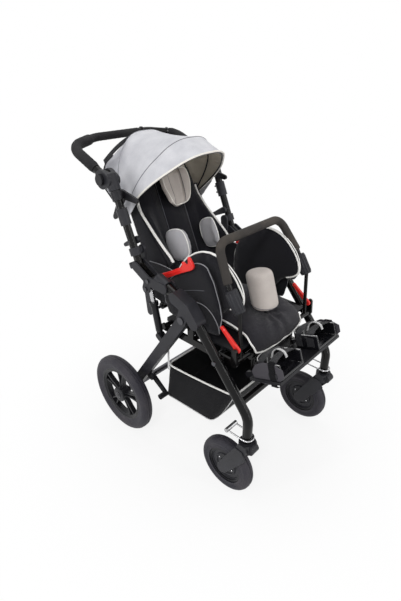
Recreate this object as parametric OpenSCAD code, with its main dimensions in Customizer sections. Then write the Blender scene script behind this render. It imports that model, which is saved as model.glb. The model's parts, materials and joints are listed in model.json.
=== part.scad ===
/* [Overall] */
// Distance from the rear axle to the caster stems
wheelbase = 540; // [500:5:580]
// Clear width of the seat between its side wings
seat_w = 262; // [240:2:300]
// Height of the seat pan's top face
seat_height = 500; // [470:5:530]
// Lean of the uprights and of the backrest, in degrees from upright
back_lean = 22.6; // [18:0.2:26]

/* [Rear wheels] */
// Outer diameter of the rear tyres
rear_wheel_d = 300; // [280:2:310]
// Width of the rear tyres
rear_tyre_w = 46; // [40:1:50]
// Diameter on which the rear tyres sit
rear_rim_d = 212; // [200:2:220]
// Width of the rear rims
rear_rim_w = 32; // [26:1:36]
// Diameter of the rear axle
axle_d = 12; // [10:1:14]
// Twin spokes in each rear wheel
rear_spokes = 6; // [4:1:8]

/* [Casters] */
// Outer diameter of the caster tyres
caster_d = 195; // [180:1:200]
// Width of the caster tyres
caster_tyre_w = 40; // [32:1:42]
// Diameter on which the caster tyres sit
caster_rim_d = 128; // [118:2:134]
// How far the caster axles trail behind their stems
caster_trail = 71; // [60:1:75]
// Diameter of the caster stems
stem_d = 16; // [14:1:18]

/* [Frame] */
// Diameter of the leg tubes
leg_d = 30; // [28:1:32]
// Diameter of the upright tubes
upright_d = 25; // [22:1:26]
// Width of the rear struts
strut_w = 24; // [20:1:26]
// Depth of the rear struts
strut_depth = 36; // [30:1:38]
// Height at which the leg tubes end over the casters
leg_foot_height = 246; // [240:1:256]
// Thickness of the seat's side rails
rail_t = 8; // [6:1:9]
// Depth of the seat's side rails
rail_depth = 24; // [20:1:28]

/* [Handle] */
// Length of the handle from its pivots to the crossbar
handle_l = 222; // [200:2:250]
// Rise of the handle over level, in degrees
handle_rise = 23; // [15:1:35]
// Diameter of the handle tube
handle_d = 25; // [22:1:26]
// Outer diameter of the foam grips
grip_d = 34; // [30:1:36]

/* [Bumper bar] */
// Diameter of the bumper bar's tube
bumper_d = 16; // [14:1:18]
// Outer diameter of its foam
bumper_foam_d = 26; // [24:1:28]
// Height of the bar over its sockets' lower ends
bumper_rise = 200; // [180:2:220]

/* [Seat and back] */
// Thickness of the seat cushion
seat_t = 54; // [48:1:58]
// Thickness of the side wings
wing_t = 22; // [18:1:24]
// Thickness of the outer side panels
panel_t = 21; // [16:1:24]
// Width of the backrest cushion
back_w = 292; // [270:2:296]
// Length of the backrest cushion
back_l = 430; // [390:5:440]
// Thickness of the backrest cushion
back_t = 36; // [30:1:40]
// Depth of the backrest's side bolsters
bolster_depth = 92; // [80:2:100]
// Diameter of the pommel
pommel_d = 78; // [70:1:80]
// Height of the pommel
pommel_h = 122; // [110:1:126]

/* [Footrest] */
// Width of the footplate
foot_w = 332; // [300:2:336]
// Distance from the footplate's hinge to its front edge
foot_l = 158; // [148:1:162]
// Tilt of the footplate with the toes up, in degrees
foot_tilt = 20; // [15:1:22]

/* [Canopy] */
// Half width of the canopy at its pivots
canopy_half_w = 158; // [156:1:162]
// Reach of the front bow
front_bow_l = 292; // [280:2:300]
// Reach of the middle bow
mid_bow_l = 268; // [258:1:280]
// Reach of the rear bow
rear_bow_l = 239; // [226:1:246]

/* [Basket] */
// Width of the basket
basket_w = 404; // [370:2:404]
// Wall of the basket
basket_wall = 3; // [2:0.5:4]

/* [Hidden] */
$fn = 64;

// How far cuts run past the faces that they cut
overrun = 1;
// Radial gap of a shaft in its bore
run_gap = 0.05;
// How far straight runs reach into a bend, and how much thicker the bend is there
bend_lap = 1;
bend_step = 0.4;
// How far a link's straight sides stand inside its round ends
link_step = 0.05;
// Gap between pieces that move past each other
move_gap = 0.5;
// Gap between soft pieces and what they rest on
rest_gap = 0.3;

// The frame's side planes, from the seat outwards
wing_gap = 2;
panel_gap = 5;
lever_gap = 3;
lever_t = 9;
rail_gap = 6;
hub_wall = 4;
seat_x = seat_w / 2;
wing_x = seat_x + wing_gap;
panel_x = wing_x + wing_t + panel_gap;
lever_x = panel_x + panel_t + lever_gap;
rail_x = lever_x + lever_t + rail_gap;
hub_x = rail_x + rail_t;
frame_x = hub_x + hub_wall + leg_d / 2;
strut_gap = 18;
rear_wheel_x = frame_x + strut_w / 2 + strut_gap + rear_tyre_w / 2;

// Lengthwise places are counted forwards from the rear axle
axle_y = wheelbase / 2;
axle_height = rear_wheel_d / 2;

// Knuckle pivot, hub corner and strut pivot
knuckle_ahead = 150;
knuckle_rise = 153;
hub_ahead = 306;
hub_rise = 114;
strut_pivot_ahead = 290;
strut_pivot_rise = 70;
knuckle = [knuckle_ahead, seat_height + knuckle_rise];
hub = [hub_ahead, seat_height + hub_rise];
strut_pivot = [strut_pivot_ahead, seat_height + strut_pivot_rise];
axle = [0, axle_height];

// Front leg tube: from the knuckle over the hub and down to the caster stem
leg_start_ahead = 25;
leg_start_rise = 11;
leg_corner_rise = 87;
hub_bend_r = 60;
leg_bend_r = 70;
leg_start = [knuckle[0] + leg_start_ahead, knuckle[1] + leg_start_rise];
leg_corner = [wheelbase, leg_foot_height + leg_corner_rise];
leg_foot = [wheelbase, leg_foot_height];
stem_depth = 58;

// Hub housing and knuckle
hub_reach = 50;
hub_r = leg_d / 2 + hub_wall;
strut_eye_r = strut_depth / 2;
pin_d = 12;
bolt_d = 8;
head_d = 14;
head_t = 4;
knuckle_wall = 5;
knuckle_r = 16;
knuckle_half_w = leg_d / 2 + knuckle_wall;
socket_l = 44;

// Upright tube line, from its foot in the knuckle to the handle housing
foot_back = 58;
foot_rise = 31;
upright_l = 266;
upright_foot = [knuckle[0] - foot_back, knuckle[1] + foot_rise];
function lean_up(p, run) = p + run * [-sin(back_lean), cos(back_lean)];
upright_top = lean_up(upright_foot, upright_l);
tongue_t = 12;
tongue_r = 13;
stop_t = 10;
stop_gap = 3;

// Handle housing and pivot
housing_back = 26;
housing_d = 58;
housing_half_w = 20;
housing_sleeve_d = 37;
housing_sleeve_l = 32;
handle_pivot = upright_top - [housing_back, 0];
handle_disc_d = 50;
handle_slot_t = tongue_t + 2 * move_gap;
handle_start = 34;
handle_bend_r = 60;
handle_bow = 36;
handle_bow_x = 116;
handle_bow_r = 150;
grip_arm_l = 40;
grip_end_x = 76;
mid_sleeve_d = 29;
button_d = 34;
button_depth = 6;
button_proud = 6;
button_floor_gap = 4;

// Sleeves, latches and recline brackets on the uprights
sleeve_run = 128;
sleeve_l = 50;
sleeve_wall = 4.5;
hook_l = 12;
hook_d = 6;
latch_run = 76;
latch_l = 56;
latch_drop = 30;
latch_t = 10;
latch_r = 6;
clamp_run = 56;
clamp_l = 24;
clamp_wall = 5;
bracket_t = 7;
bracket_top_r = 15;
bracket_low_r = 12;

// Backrest line, hinge and frame
back_hinge_ahead = 95;
back_hinge_rise = 5;
back_tube_d = 20;
back_tube_x = 136;
back_frame_l = 440;
back_bend_r = 60;
back_hinge = [back_hinge_ahead, seat_height + back_hinge_rise];
hinge_pin_d = 10;
hinge_eye_d = 24;
hinge_eye_w = 24;
back_pad_start = 22;
back_pad_gap = 0.4;

// Headrest and lateral pads, along the backrest
headrest_run = 374;
headrest_w = 118;
headrest_l = 120;
headrest_t = 30;
headrest_wing = 26;
headrest_plate_w = 84;
headrest_plate_l = 70;
headrest_plate_t = 3;
lateral_run = 186;
lateral_l = 112;
lateral_reach = 96;
lateral_t = 22;
lateral_x = 82;
lateral_curl = 22;

// Canopy pivots, on the backrest line, and the bows' leans from upright
canopy_drop = 116;
canopy_run = back_frame_l - canopy_drop;
canopy_back = 14;
bow_d = 4.5;
bow_eye_t = 3.5;
bow_side_r = 200;
bow_top_r = 110;
bow_step = 5;
front_bow_lean = -48.5;
mid_bow_lean = -32;
rear_bow_lean = 17.2;
rear_edge_lean = 38;
rear_edge_l = 214;
cover_gap = 1.8;
cover_t = 2.4;
stay_run = 232;
stay_l = 28;
stay_t = 7;
stay_r = 8;
stay_reach = 62;
stay_pin_d = 9;
canopy_pivot = lean_up(back_hinge, canopy_run) - [canopy_back, 0];

// Seat frame, pan and cushion
rail_drop = 22;
rail_rear = 165;
rail_front = 462;
rail_mid = 400;
hanger_d = 12;
ear_gap = 1;
hinge_ear_r = 8;
cross_d = 16;
pan_t = 6;
pan_rear = 158;
pan_front = 452;
seat_rear = 166;
seat_knee = 440;
seat_front = 486;
seat_front_drop = 22;
under_step = 13;
seat_rise = 30;
knee_rise = 54;
front_cross_height = 372;
front_cross_d = 22;

// Side wings and panels
wing_rear = 184;
wing_front = 448;
wing_base = 0.3;
wing_h = 256;
panel_rear = 176;
panel_front = 392;
panel_h = 212;

// Bumper sockets, on the rails
socket_ahead = 452;
socket_rise = 130;
socket_lean = 32;
socket_x = 173;
socket_d = 33;
socket_bar_l = 68;
socket_floor = 6;
bumper_top_x = 148;
bumper_bend_r = 42;
bumper_kink_r = 60;
foam_start = 84;
foam_gap = 2;

// Pommel, on its post in the pan
pommel_ahead = 421;
pommel_lean = 12.7;
pommel_post_d = 18;
pommel_post_drop = 100;
pommel_base_rise = 62;
post_cup_d = 26;
post_cup_drop = 92;
post_cup_l = 26;

// Legrest, calf pad and footplate
legrest_ahead = 456;
legrest_drop = 46;
legrest_tube_d = 16;
legrest_tube_x = 104;
legrest_eye_d = 22;
legrest_eye_w = 20;
calf_w = 176;
calf_t = 12;
foot_plate_t = 9;
foot_start = 46;
foot_ear_l = 64;
foot_hinge_drop = 110.5;
foot_hinge_d = 10;
foot_hinge_eye_d = 20;
sandal_w = 112;
sandal_l = 110;
sandal_wall = 7;
sandal_h = 46;
sandal_gap = 88;

// Red levers
recline_lever_rise = -5;
recline_lever_l = 152;
recline_lever_lift = 30;
recline_lever_r = 11;
recline_grip_l = 26;
legrest_lever_ahead = 462;
legrest_lever_rise = 18;
legrest_lever_l = 78;
legrest_lever_lift = 40;
legrest_lever_r = 9;

// Basket corners
basket_rear_top = [172, 326];
basket_front_top = [466, 358];
basket_front_low = [382, 196];
basket_rear_low = [150, 182];
strap_w = 22;
strap_t = 3;
strap_pin_d = 16;

// Telescopic brace and its open pivot on the strut
brace_back = 12;
brace_drop = 31;
brace_along = 160;
brace_off = 34;
brace_rod_d = 16;
brace_tube_d = 23;
brace_tube_l = 118;
brace_rod_l = 146;
brace_eye_d = 24;
brace_eye_t = 10;
collar_d = 29;
collar_l = 12;
open_pin_d = 8;
open_hole_d = 16;
open_eye_d = 24;
open_neck = 17;
ear_t = 6;
ear_r = 10;
brace_pivot = [knuckle[0] - brace_back, knuckle[1] - brace_drop];
strut_way = (axle - strut_pivot) / norm(axle - strut_pivot);
strut_side = [strut_way[1], -strut_way[0]];
open_pivot = strut_pivot + brace_along * strut_way + brace_off * strut_side;
brace_way = (open_pivot - brace_pivot) / norm(open_pivot - brace_pivot);

// Rear axle and brake
axle_tube_d = 24;
axle_collar_d = 20;
axle_cap_d = 24;
axle_cap_t = 5;
hub_side_gap = 0.4;
rear_hub_l = 40;
rear_hub_d = 46;
brake_along = 380;
brake_shaft_d = 12;
brake_off = 30;
brake_arm_l = 78;
brake_arm_t = 8;
brake_arm_r = 9;
brake_arm_lean = 56;
brake_pedal_d = 20;
brake_pedal_l = 34;

// Wheels
rim_lip = 7;
spoke_w = 9;
spoke_t = 14;
spoke_spread = 13;
caster_hub_d = 34;
caster_web_t = 10;
caster_rim_w = 30;
caster_axle_d = 10;

// Caster forks and swivel locks
fork_gap = 1.5;
fork_t = 5.5;
fork_crown_d = 50;
fork_crown_l = 36;
fork_top_gap = 1;
fork_arm_r = 19;
fork_foot_r = 16;
fork_nose_r = 15;
fork_nose_ahead = 20;
fork_half_w = caster_tyre_w / 2 + fork_gap + fork_t;
lock_rise = 16;
lock_wire_d = 5;
lock_pin_d = 4;
lock_gap = 2;
lock_back = 62;
lock_knob_d = 14;
lock_r = leg_d / 2 + lock_gap + lock_wire_d / 2;

// Counts of the pads' grids
pad_cells = 12;
back_cells = 22;

// A place in the part's frame from a side view place and a width place
function spot(p, x = 0) = [x, axle_y - p[0], p[1]];
// A flat outline's point from a side view place
function flat(p) = [axle_y - p[0], p[1]];
function unit(v) = v / norm(v);
function turn(v, deg) = [v[0] * cos(deg) - v[1] * sin(deg), v[0] * sin(deg) + v[1] * cos(deg)];
function mix(p, q, share) = p + share * (q - p);
function smooth(t) = let (k = max(0, min(1, t))) k * k * (3 - 2 * k);

module both() {
    children();
    mirror([1, 0, 0]) children();
}

// A rod from one point to another
module rod(p, q, d) {
    way = unit(q - p);
    side = unit(cross(abs(way[0]) > cos(45) ? [0, 0, 1] : [1, 0, 0], way));
    third = cross(way, side);
    multmatrix([
        [side[0], third[0], way[0], p[0]],
        [side[1], third[1], way[1], p[1]],
        [side[2], third[2], way[2], p[2]],
        [0, 0, 0, 1],
    ]) cylinder(d = d, h = norm(q - p));
}

// A round bar through corner points, with an elbow at each inner corner
module bent_bar(points, radii, d) {
    last = len(points) - 1;
    function half(i) = acos(unit(points[i - 1] - points[i]) * unit(points[i + 1] - points[i])) / 2;
    function tail(i) = i == 0 || i == last ? 0 : radii[i - 1] / tan(half(i));
    for (i = [0 : last - 1]) {
        way = unit(points[i + 1] - points[i]);
        start = i == 0 ? 0 : tail(i) - bend_lap;
        stop = i == last - 1 ? 0 : tail(i + 1) - bend_lap;
        rod(points[i] + start * way, points[i + 1] - stop * way, d);
    }
    for (i = [1 : 1 : last - 1]) {
        to_last = unit(points[i - 1] - points[i]);
        to_next = unit(points[i + 1] - points[i]);
        centre = points[i] + unit(to_last + to_next) * radii[i - 1] / sin(half(i));
        out = unit(points[i] + to_last * tail(i) - centre);
        up = cross(out, -to_last);
        multmatrix([
            [out[0], -to_last[0], up[0], centre[0]],
            [out[1], -to_last[1], up[1], centre[1]],
            [out[2], -to_last[2], up[2], centre[2]],
            [0, 0, 0, 1],
        ]) rotate_extrude(angle = 180 - 2 * half(i)) translate([radii[i - 1], 0]) circle(d = d + bend_step);
    }
}

// A bored bar through corner points
module bent_tube(points, radii, d, bore) {
    last = len(points) - 1;
    longer = [
        for (i = [0 : last])
            i == 0 ? points[i] + overrun * unit(points[i] - points[i + 1])
            : i == last ? points[i] + overrun * unit(points[i] - points[i - 1])
            : points[i]
    ];
    difference() {
        bent_bar(points, radii, d);
        bent_bar(longer, radii, bore);
    }
}

// A round-ended flat outline between two side view places
module link(p, q, r_p, r_q) {
    a = flat(p);
    b = flat(q);
    way = atan2(b[1] - a[1], b[0] - a[0]);
    open = acos((r_p - r_q) / norm(b - a));
    function rim(c, r, deg) = c + r * [cos(deg), sin(deg)];
    translate(a) circle(r_p);
    translate(b) circle(r_q);
    polygon([
        rim(a, r_p - link_step, way + open), rim(b, r_q - link_step, way + open),
        rim(b, r_q - link_step, way - open), rim(a, r_p - link_step, way - open),
    ]);
}

// A flat outline made into a plate between two width places
module plate(x_in, x_out) {
    translate([x_in, 0, 0]) rotate([90, 0, 90]) linear_extrude(x_out - x_in) children();
}

// A pin across the width at a side view place
module pin(p, d, x_in, x_out) {
    rod(spot(p, x_in), spot(p, x_out), d);
}

// A soft closed solid from a top and a bottom surface that share their edge
module pad(nu, nv, top, bottom) {
    us = [for (i = [0 : nu]) sin(180 * i / nu - 90)];
    vs = [for (j = [0 : nv]) sin(180 * j / nv - 90)];
    upper = [for (u = us) for (v = vs) top(u, v)];
    lower = [for (i = [1 : nu - 1]) for (j = [1 : nv - 1]) bottom(us[i], vs[j])];
    function up(i, j) = i * (nv + 1) + j;
    function edge(i, j) = i == 0 || i == nu || j == 0 || j == nv;
    function low(i, j) = edge(i, j) ? up(i, j) : len(upper) + (i - 1) * (nv - 1) + j - 1;
    function cell(a, b, c, d, cut) = cut ? [[a, b, c], [a, c, d]] : [[a, b, d], [b, c, d]];
    polyhedron(concat(upper, lower), [
        for (i = [0 : nu - 1]) for (j = [0 : nv - 1])
            let (cut = (2 * i < nu) == (2 * j < nv))
            each concat(
                cell(up(i, j), up(i, j + 1), up(i + 1, j + 1), up(i + 1, j), cut),
                [for (f = cell(low(i, j), low(i, j + 1), low(i + 1, j + 1), low(i + 1, j), cut))
                    [f[2], f[1], f[0]]]
            ),
    ]);
}

// Fullness of a pad: one in the middle, falling to nothing at its seams
function full(u, v, power = 5) =
    sqrt(max(0, (1 - pow(abs(u), power)) * (1 - pow(abs(v), power))));
// A pad's outline with its corners drawn in by a share
function drawn(u, v, share) = [u * sqrt(1 - share * v * v / 2), v * sqrt(1 - share * u * u / 2)];
// A sewn channel at a place across a pad
function channel(u, at, width) = exp(-pow((u - at) / width, 2));

// Frame

module front_legs() {
    color("#24242a") both() difference() {
        bent_bar(
            [for (p = [leg_start, hub, leg_corner, leg_foot]) spot(p, frame_x)],
            [hub_bend_r, leg_bend_r], leg_d
        );
        translate(spot(leg_foot, frame_x) - [0, 0, overrun])
            cylinder(d = stem_d + 2 * run_gap, h = stem_depth + overrun);
        pin(rail_bolt, bolt_d + 2 * run_gap, frame_x - leg_d, frame_x + leg_d);
        rod(
            spot(front_cross, frame_x - leg_d / 2 - overrun), spot(front_cross, frame_x),
            front_cross_d + 2 * run_gap
        );
    }
}

// Where the rail is bolted to the leg, and where the cross tube meets it
function on_leg(height) = mix(hub, leg_corner, (hub[1] - height) / (hub[1] - leg_corner[1]));
rail_bolt = on_leg(seat_height - rail_drop);
front_cross = on_leg(front_cross_height);

module hub_housings() {
    back_way = unit(leg_start - hub);
    leg_way = unit(leg_corner - hub);
    color("#3a3a40") both() difference() {
        plate(hub_x, 2 * frame_x - hub_x) {
            link(hub + hub_reach * back_way, hub, hub_r, hub_r);
            link(hub, hub + hub_reach * leg_way, hub_r, hub_r);
            link(hub, strut_pivot, hub_r, hub_r);
        }
        bent_bar(
            [for (p = [leg_start, hub, leg_corner]) spot(p, frame_x)],
            [hub_bend_r], leg_d + 2 * run_gap
        );
        plate(frame_x - strut_w / 2 - move_gap, frame_x + strut_w / 2 + move_gap) {
            link(strut_pivot, mix(strut_pivot, [strut_pivot[0], axle_height], hub_share), slot_r, slot_r);
            link(strut_pivot, mix(strut_pivot, axle, hub_share), slot_r, slot_r);
        }
        pin(strut_pivot, pin_d + 2 * run_gap, hub_x - overrun, 2 * frame_x - hub_x + overrun);
    }
}

// Share of the strut that the housing's slot clears, and the slot's radius round the pivot
hub_share = 0.2;
slot_r = strut_eye_r + move_gap;

module knuckles() {
    tube_way = unit(hub - leg_start);
    seat_end = leg_start + socket_l * tube_way;
    stop_foot = upright_foot + (upright_d / 2 + stop_gap + stop_t / 2) * [-cos(back_lean), -sin(back_lean)];
    color("#3a3a40") both() difference() {
        union() {
            for (x = [frame_x - knuckle_half_w, frame_x + knuckle_half_w - knuckle_wall])
                plate(x, x + knuckle_wall) {
                    link(knuckle, upright_foot, knuckle_r, knuckle_r);
                    link(knuckle, brace_pivot, knuckle_r, knuckle_r);
                    link(knuckle, seat_end, knuckle_r, knuckle_r);
                }
            rod(spot(leg_start, frame_x), spot(seat_end, frame_x), 2 * knuckle_half_w);
            plate(frame_x - knuckle_half_w, frame_x + knuckle_half_w)
                link(stop_foot, lean_up(stop_foot, stop_t), stop_t / 2, stop_t / 2);
        }
        rod(
            spot(leg_start - overrun * tube_way, frame_x),
            spot(seat_end + overrun * tube_way, frame_x), leg_d + 2 * run_gap
        );
        for (p = [knuckle, brace_pivot])
            pin(p, hinge_pin_d + 2 * run_gap, hub_x - leg_d, frame_x + leg_d);
    }
}

module seat_frame() {
    rail_height = seat_height - rail_drop;
    middle = [strut_pivot[0], rail_height];
    color("#2c2c31") {
        both() difference() {
            plate(rail_x, hub_x) {
                link([rail_rear, rail_height], [rail_front, rail_height], rail_depth / 2, rail_depth / 2);
                link(middle, strut_pivot, rail_depth / 2, rail_depth / 2);
                link([rail_front, rail_height], legrest_lever_root, rail_depth / 2, legrest_lever_r);
            }
            pin(strut_pivot, pin_d + 2 * run_gap, rail_x - overrun, hub_x + overrun);
            pin(rail_bolt, bolt_d + 2 * run_gap, rail_x - overrun, hub_x + overrun);
        }
        for (ahead = [rail_rear, middle[0], rail_mid, rail_front])
            pin([ahead, rail_height], cross_d, -rail_x, rail_x);
        both() {
            rod(spot(socket_foot, socket_x), spot([rail_front, rail_height], socket_x), hanger_d);
            plate(ear_x, ear_x + ear_t)
                link([rail_front, rail_height], legrest_hinge, hinge_ear_r, hinge_ear_r);
            pin(legrest_hinge, hinge_pin_d, legrest_tube_x - legrest_eye_w / 2, ear_x + ear_t);
        }
    }
}

module front_cross_tube() {
    color("#24242a") pin(front_cross, front_cross_d, -frame_x, frame_x);
}

module seat_pan() {
    low = seat_height - pan_t;
    half_w = panel_x + panel_t;
    rest = seat_height - rail_drop + cross_d / 2;
    color("#2c2c31") difference() {
        union() {
            plate(-half_w, half_w) polygon([
                for (p = [
                    [pan_rear, low], [pan_front, low], [pan_front, seat_height], [pan_rear, seat_height],
                ]) flat(p)
            ]);
            for (ahead = [rail_rear, strut_pivot[0], rail_mid])
                plate(-half_w, half_w)
                    polygon([
                        for (p = [
                            [ahead - cross_d / 2, rest], [ahead + cross_d / 2, rest],
                            [ahead + cross_d / 2, low], [ahead - cross_d / 2, low],
                        ]) flat(p)
                    ]);
            rod(pommel_at(-post_cup_drop), pommel_at(-post_cup_drop + post_cup_l), post_cup_d);
        }
        rod(
            pommel_at(-post_cup_drop - overrun), pommel_at(0), pommel_post_d + 2 * run_gap
        );
    }
}

// A place along the pommel's own axis, from its pad's lower face
function pommel_at(run) =
    spot([pommel_ahead - run * sin(pommel_lean), seat_height + pommel_base_rise + run * cos(pommel_lean)]);

module frame_bolts() {
    outer = 2 * frame_x - hub_x;
    color("#c9a24a") both() {
        pin(strut_pivot, pin_d, rail_x, outer);
        pin(strut_pivot, 2 * pin_d, outer, outer + head_t);
        pin(rail_bolt, bolt_d, rail_x, frame_x + leg_d / 2);
        pin(rail_bolt, head_d, frame_x + leg_d / 2, frame_x + leg_d / 2 + head_t);
        difference() {
            pin(rail_bolt, head_d, hub_x, frame_x - leg_d / 2);
            pin(rail_bolt, bolt_d, hub_x - overrun, frame_x);
        }
        for (p = [knuckle, brace_pivot]) {
            pin(p, hinge_pin_d, frame_x - knuckle_half_w, frame_x + knuckle_half_w);
            pin(p, head_d, frame_x + knuckle_half_w, frame_x + knuckle_half_w + head_t);
        }
    }
}

// Soft seat

module seat_cushion() {
    rear = [seat_rear, seat_height + seat_rise];
    knee = [seat_knee, seat_height + knee_rise];
    front = [seat_front, seat_height - seat_front_drop];
    // The middle line is a cubic curve that turns down over the knee
    function line(t) =
        let (a = rear, b = mix(rear, knee, knee_shares[0]), c = knee, d = front)
        pow(1 - t, 3) * a + 3 * t * pow(1 - t, 2) * b + 3 * t * t * (1 - t) * c + pow(t, 3) * d;
    function across(t) =
        let (way = unit(line(t + knee_shares[1]) - line(t - knee_shares[1]))) [-way[1], way[0]];
    // The underside lies flat on the pan and turns down before it
    function under(t) =
        let (
            low = seat_height + 2 * rest_gap,
            bend = [pan_front + under_step, low],
            tip = [pan_front + 2 * under_step, low - 2 * under_step]
        ) t < under_share
            ? mix([seat_rear, low], bend, t / under_share)
            : mix(bend, tip, (t - under_share) / (1 - under_share));
    function top(u, v) =
        let (e = drawn(u, v, corner_share), t = (1 + e[1]) / 2, h = full(u, v) * seat_t / 2)
        spot(line(t) + h * (1 - crown_share * u * u) * across(t), e[0] * (seat_x - wing_gap));
    function bottom(u, v) =
        let (e = drawn(u, v, corner_share), t = (1 + e[1]) / 2)
        spot(mix(line(t), under(t), full(u, v)), e[0] * (seat_x - wing_gap));
    color("#1c1c20") difference() {
        pad(pad_cells, back_cells, function(u, v) top(u, v), function(u, v) bottom(u, v));
        rod(pommel_at(-pommel_post_drop), pommel_at(0), pommel_post_d + 2 * move_gap);
        rod(pommel_at(-rest_gap), pommel_at(pommel_h), pommel_d + 2 * rest_gap);
    }
}

// Shares of the knee's curve, of the underside's flat, of the corners' rounding and of the crown's fall
knee_shares = [0.72, 0.01];
under_share = 0.88;
corner_share = 0.35;
crown_share = 0.3;

module side_wings() {
    middle = (wing_rear + wing_front) / 2;
    function skin(u, v, side) =
        let (
            e = drawn(u, v, wing_corner_share),
            top = wing_h * sqrt(1 - arch_share * u * u),
            h = full(u, v) * wing_t / 2
        ) [
            wing_x + wing_t / 2 + side * h,
            axle_y - middle - e[0] * (wing_front - wing_rear) / 2,
            seat_height + wing_base + (1 + e[1]) / 2 * top,
        ];
    color("#18181c") both()
        pad(pad_cells, pad_cells, function(u, v) skin(u, v, -1), function(u, v) skin(u, v, 1));
}

// Shares of the wings' arch and corners
arch_share = 0.45;
wing_corner_share = 0.5;

module side_panels() {
    middle = (panel_rear + panel_front) / 2;
    function skin(u, v, side) =
        let (
            e = drawn(u, v, wing_corner_share),
            top = panel_h * sqrt(1 - arch_share * u * u),
            h = full(u, v) * panel_t / 2
        ) [
            panel_x + panel_t / 2 + side * h,
            axle_y - middle - e[0] * (panel_front - panel_rear) / 2,
            seat_height + wing_base + (1 + e[1]) / 2 * top,
        ];
    color("#18181c") both()
        pad(pad_cells, pad_cells, function(u, v) skin(u, v, -1), function(u, v) skin(u, v, 1));
}

// Bumper bar and sockets

socket_foot = [socket_ahead, seat_height + socket_rise];
// A place along the bumper bar's plane, from the sockets' lower ends
function bar_at(run, x) = spot(socket_foot + run * [-sin(socket_lean), cos(socket_lean)], x);

module bar_sockets() {
    color("#3a3a40") both() difference() {
        rod(bar_at(0, socket_x), bar_at(socket_bar_l, socket_x), socket_d);
        rod(
            spot([rail_front, seat_height - rail_drop], socket_x), bar_at(0, socket_x),
            hanger_d + 2 * run_gap
        );
        rod(
            bar_at(socket_floor, socket_x), bar_at(socket_bar_l + overrun, socket_x),
            bumper_d + 2 * run_gap
        );
    }
}

bar_end = socket_floor + rest_gap;
bar_line = concat(
    [bar_at(bar_end, socket_x), bar_at(foam_start, socket_x), bar_at(bumper_rise, bumper_top_x)],
    [bar_at(bumper_rise, -bumper_top_x), bar_at(foam_start, -socket_x), bar_at(bar_end, -socket_x)]
);
bar_radii = [bumper_kink_r, bumper_bend_r, bumper_bend_r, bumper_kink_r];

module bumper_bar() {
    color("#24242a") bent_bar(bar_line, bar_radii, bumper_d);
}

module bumper_foam() {
    foam_line = [for (i = [0 : len(bar_line) - 1])
        i == 0 ? bar_at(socket_bar_l + foam_gap, socket_x)
        : i == len(bar_line) - 1 ? bar_at(socket_bar_l + foam_gap, -socket_x)
        : bar_line[i]];
    color("#5d564e") bent_tube(foam_line, bar_radii, bumper_foam_d, bumper_d + 2 * rest_gap);
}

module pommel_post() {
    color("#b9bbc0") rod(pommel_at(-pommel_post_drop), pommel_at(pommel_post_d), pommel_post_d);
}

module pommel_pad() {
    r = pommel_d / 2;
    edge = pommel_d * pommel_edge_share;
    color("#b8b2a8") translate(pommel_at(0)) rotate([-pommel_lean, 0, 0]) difference() {
        rotate_extrude() {
            translate([0, edge]) square([r, pommel_h - 2 * edge]);
            square([r - edge, pommel_h]);
            for (z = [edge, pommel_h - edge]) translate([r - edge, z]) circle(edge);
        }
        translate([0, 0, -overrun]) cylinder(d = pommel_post_d, h = pommel_post_d + overrun);
    }
}

// Share of the pommel's width that rounds its edges
pommel_edge_share = 0.2;

// Uprights and handle

module uprights() {
    color("#24242a") both() difference() {
        union() {
            rod(spot(upright_foot, frame_x), spot(upright_top, frame_x), upright_d);
            plate(frame_x - tongue_t / 2, frame_x + tongue_t / 2)
                link(knuckle, upright_foot, tongue_r, upright_d / 2);
        }
        pin(knuckle, hinge_pin_d + 2 * run_gap, hub_x, frame_x + leg_d);
        pin(latch_at, bolt_d + 2 * run_gap, hub_x, frame_x + leg_d);
        pin(handle_pivot, housing_d + 2 * move_gap, frame_x - handle_slot_t / 2, frame_x + handle_slot_t / 2);
    }
}

module handle_housings() {
    low = lean_up(upright_top, -housing_sleeve_l);
    color("#3a3a40") both() difference() {
        union() {
            rod(spot(low, frame_x), spot(lean_up(upright_top, handle_start / 2), frame_x), housing_sleeve_d);
            plate(frame_x - housing_half_w, frame_x + housing_half_w) {
                link(handle_pivot, upright_top, housing_d / 2, upright_d / 2 + hub_wall);
            }
        }
        rod(spot(lean_up(low, -overrun), frame_x), spot(upright_top, frame_x), upright_d + 2 * run_gap);
        pin(handle_pivot, housing_d + 2 * move_gap, frame_x - handle_slot_t / 2, frame_x + handle_slot_t / 2);
        pin(handle_pivot, pin_d + 2 * run_gap, frame_x - housing_half_w - overrun, frame_x);
        pin(
            handle_pivot, button_d + 2 * run_gap,
            frame_x + housing_half_w - button_depth, frame_x + housing_half_w + overrun
        );
    }
}

// A place along the handle's arms
function arm_at(run, x) = spot(handle_pivot, x) + run * [0, cos(handle_rise), sin(handle_rise)];

module push_handle() {
    color("#24242a") {
        bent_bar(
            [
                arm_at(handle_start, frame_x), arm_at(handle_l - handle_bow, frame_x),
                arm_at(handle_l, handle_bow_x), arm_at(handle_l, -handle_bow_x),
                arm_at(handle_l - handle_bow, -frame_x), arm_at(handle_start, -frame_x),
            ],
            [handle_bend_r, handle_bow_r, handle_bow_r, handle_bend_r], handle_d
        );
        both() {
            pin(handle_pivot, handle_disc_d, frame_x - tongue_t / 2, frame_x + tongue_t / 2);
            pin(handle_pivot, pin_d, frame_x - housing_half_w, frame_x);
            plate(frame_x - tongue_t / 2, frame_x + tongue_t / 2) link(
                handle_pivot,
                handle_pivot + (handle_start + handle_d / 2) * [-cos(handle_rise), sin(handle_rise)],
                handle_d / 2, handle_d / 2
            );
        }
    }
}

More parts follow.
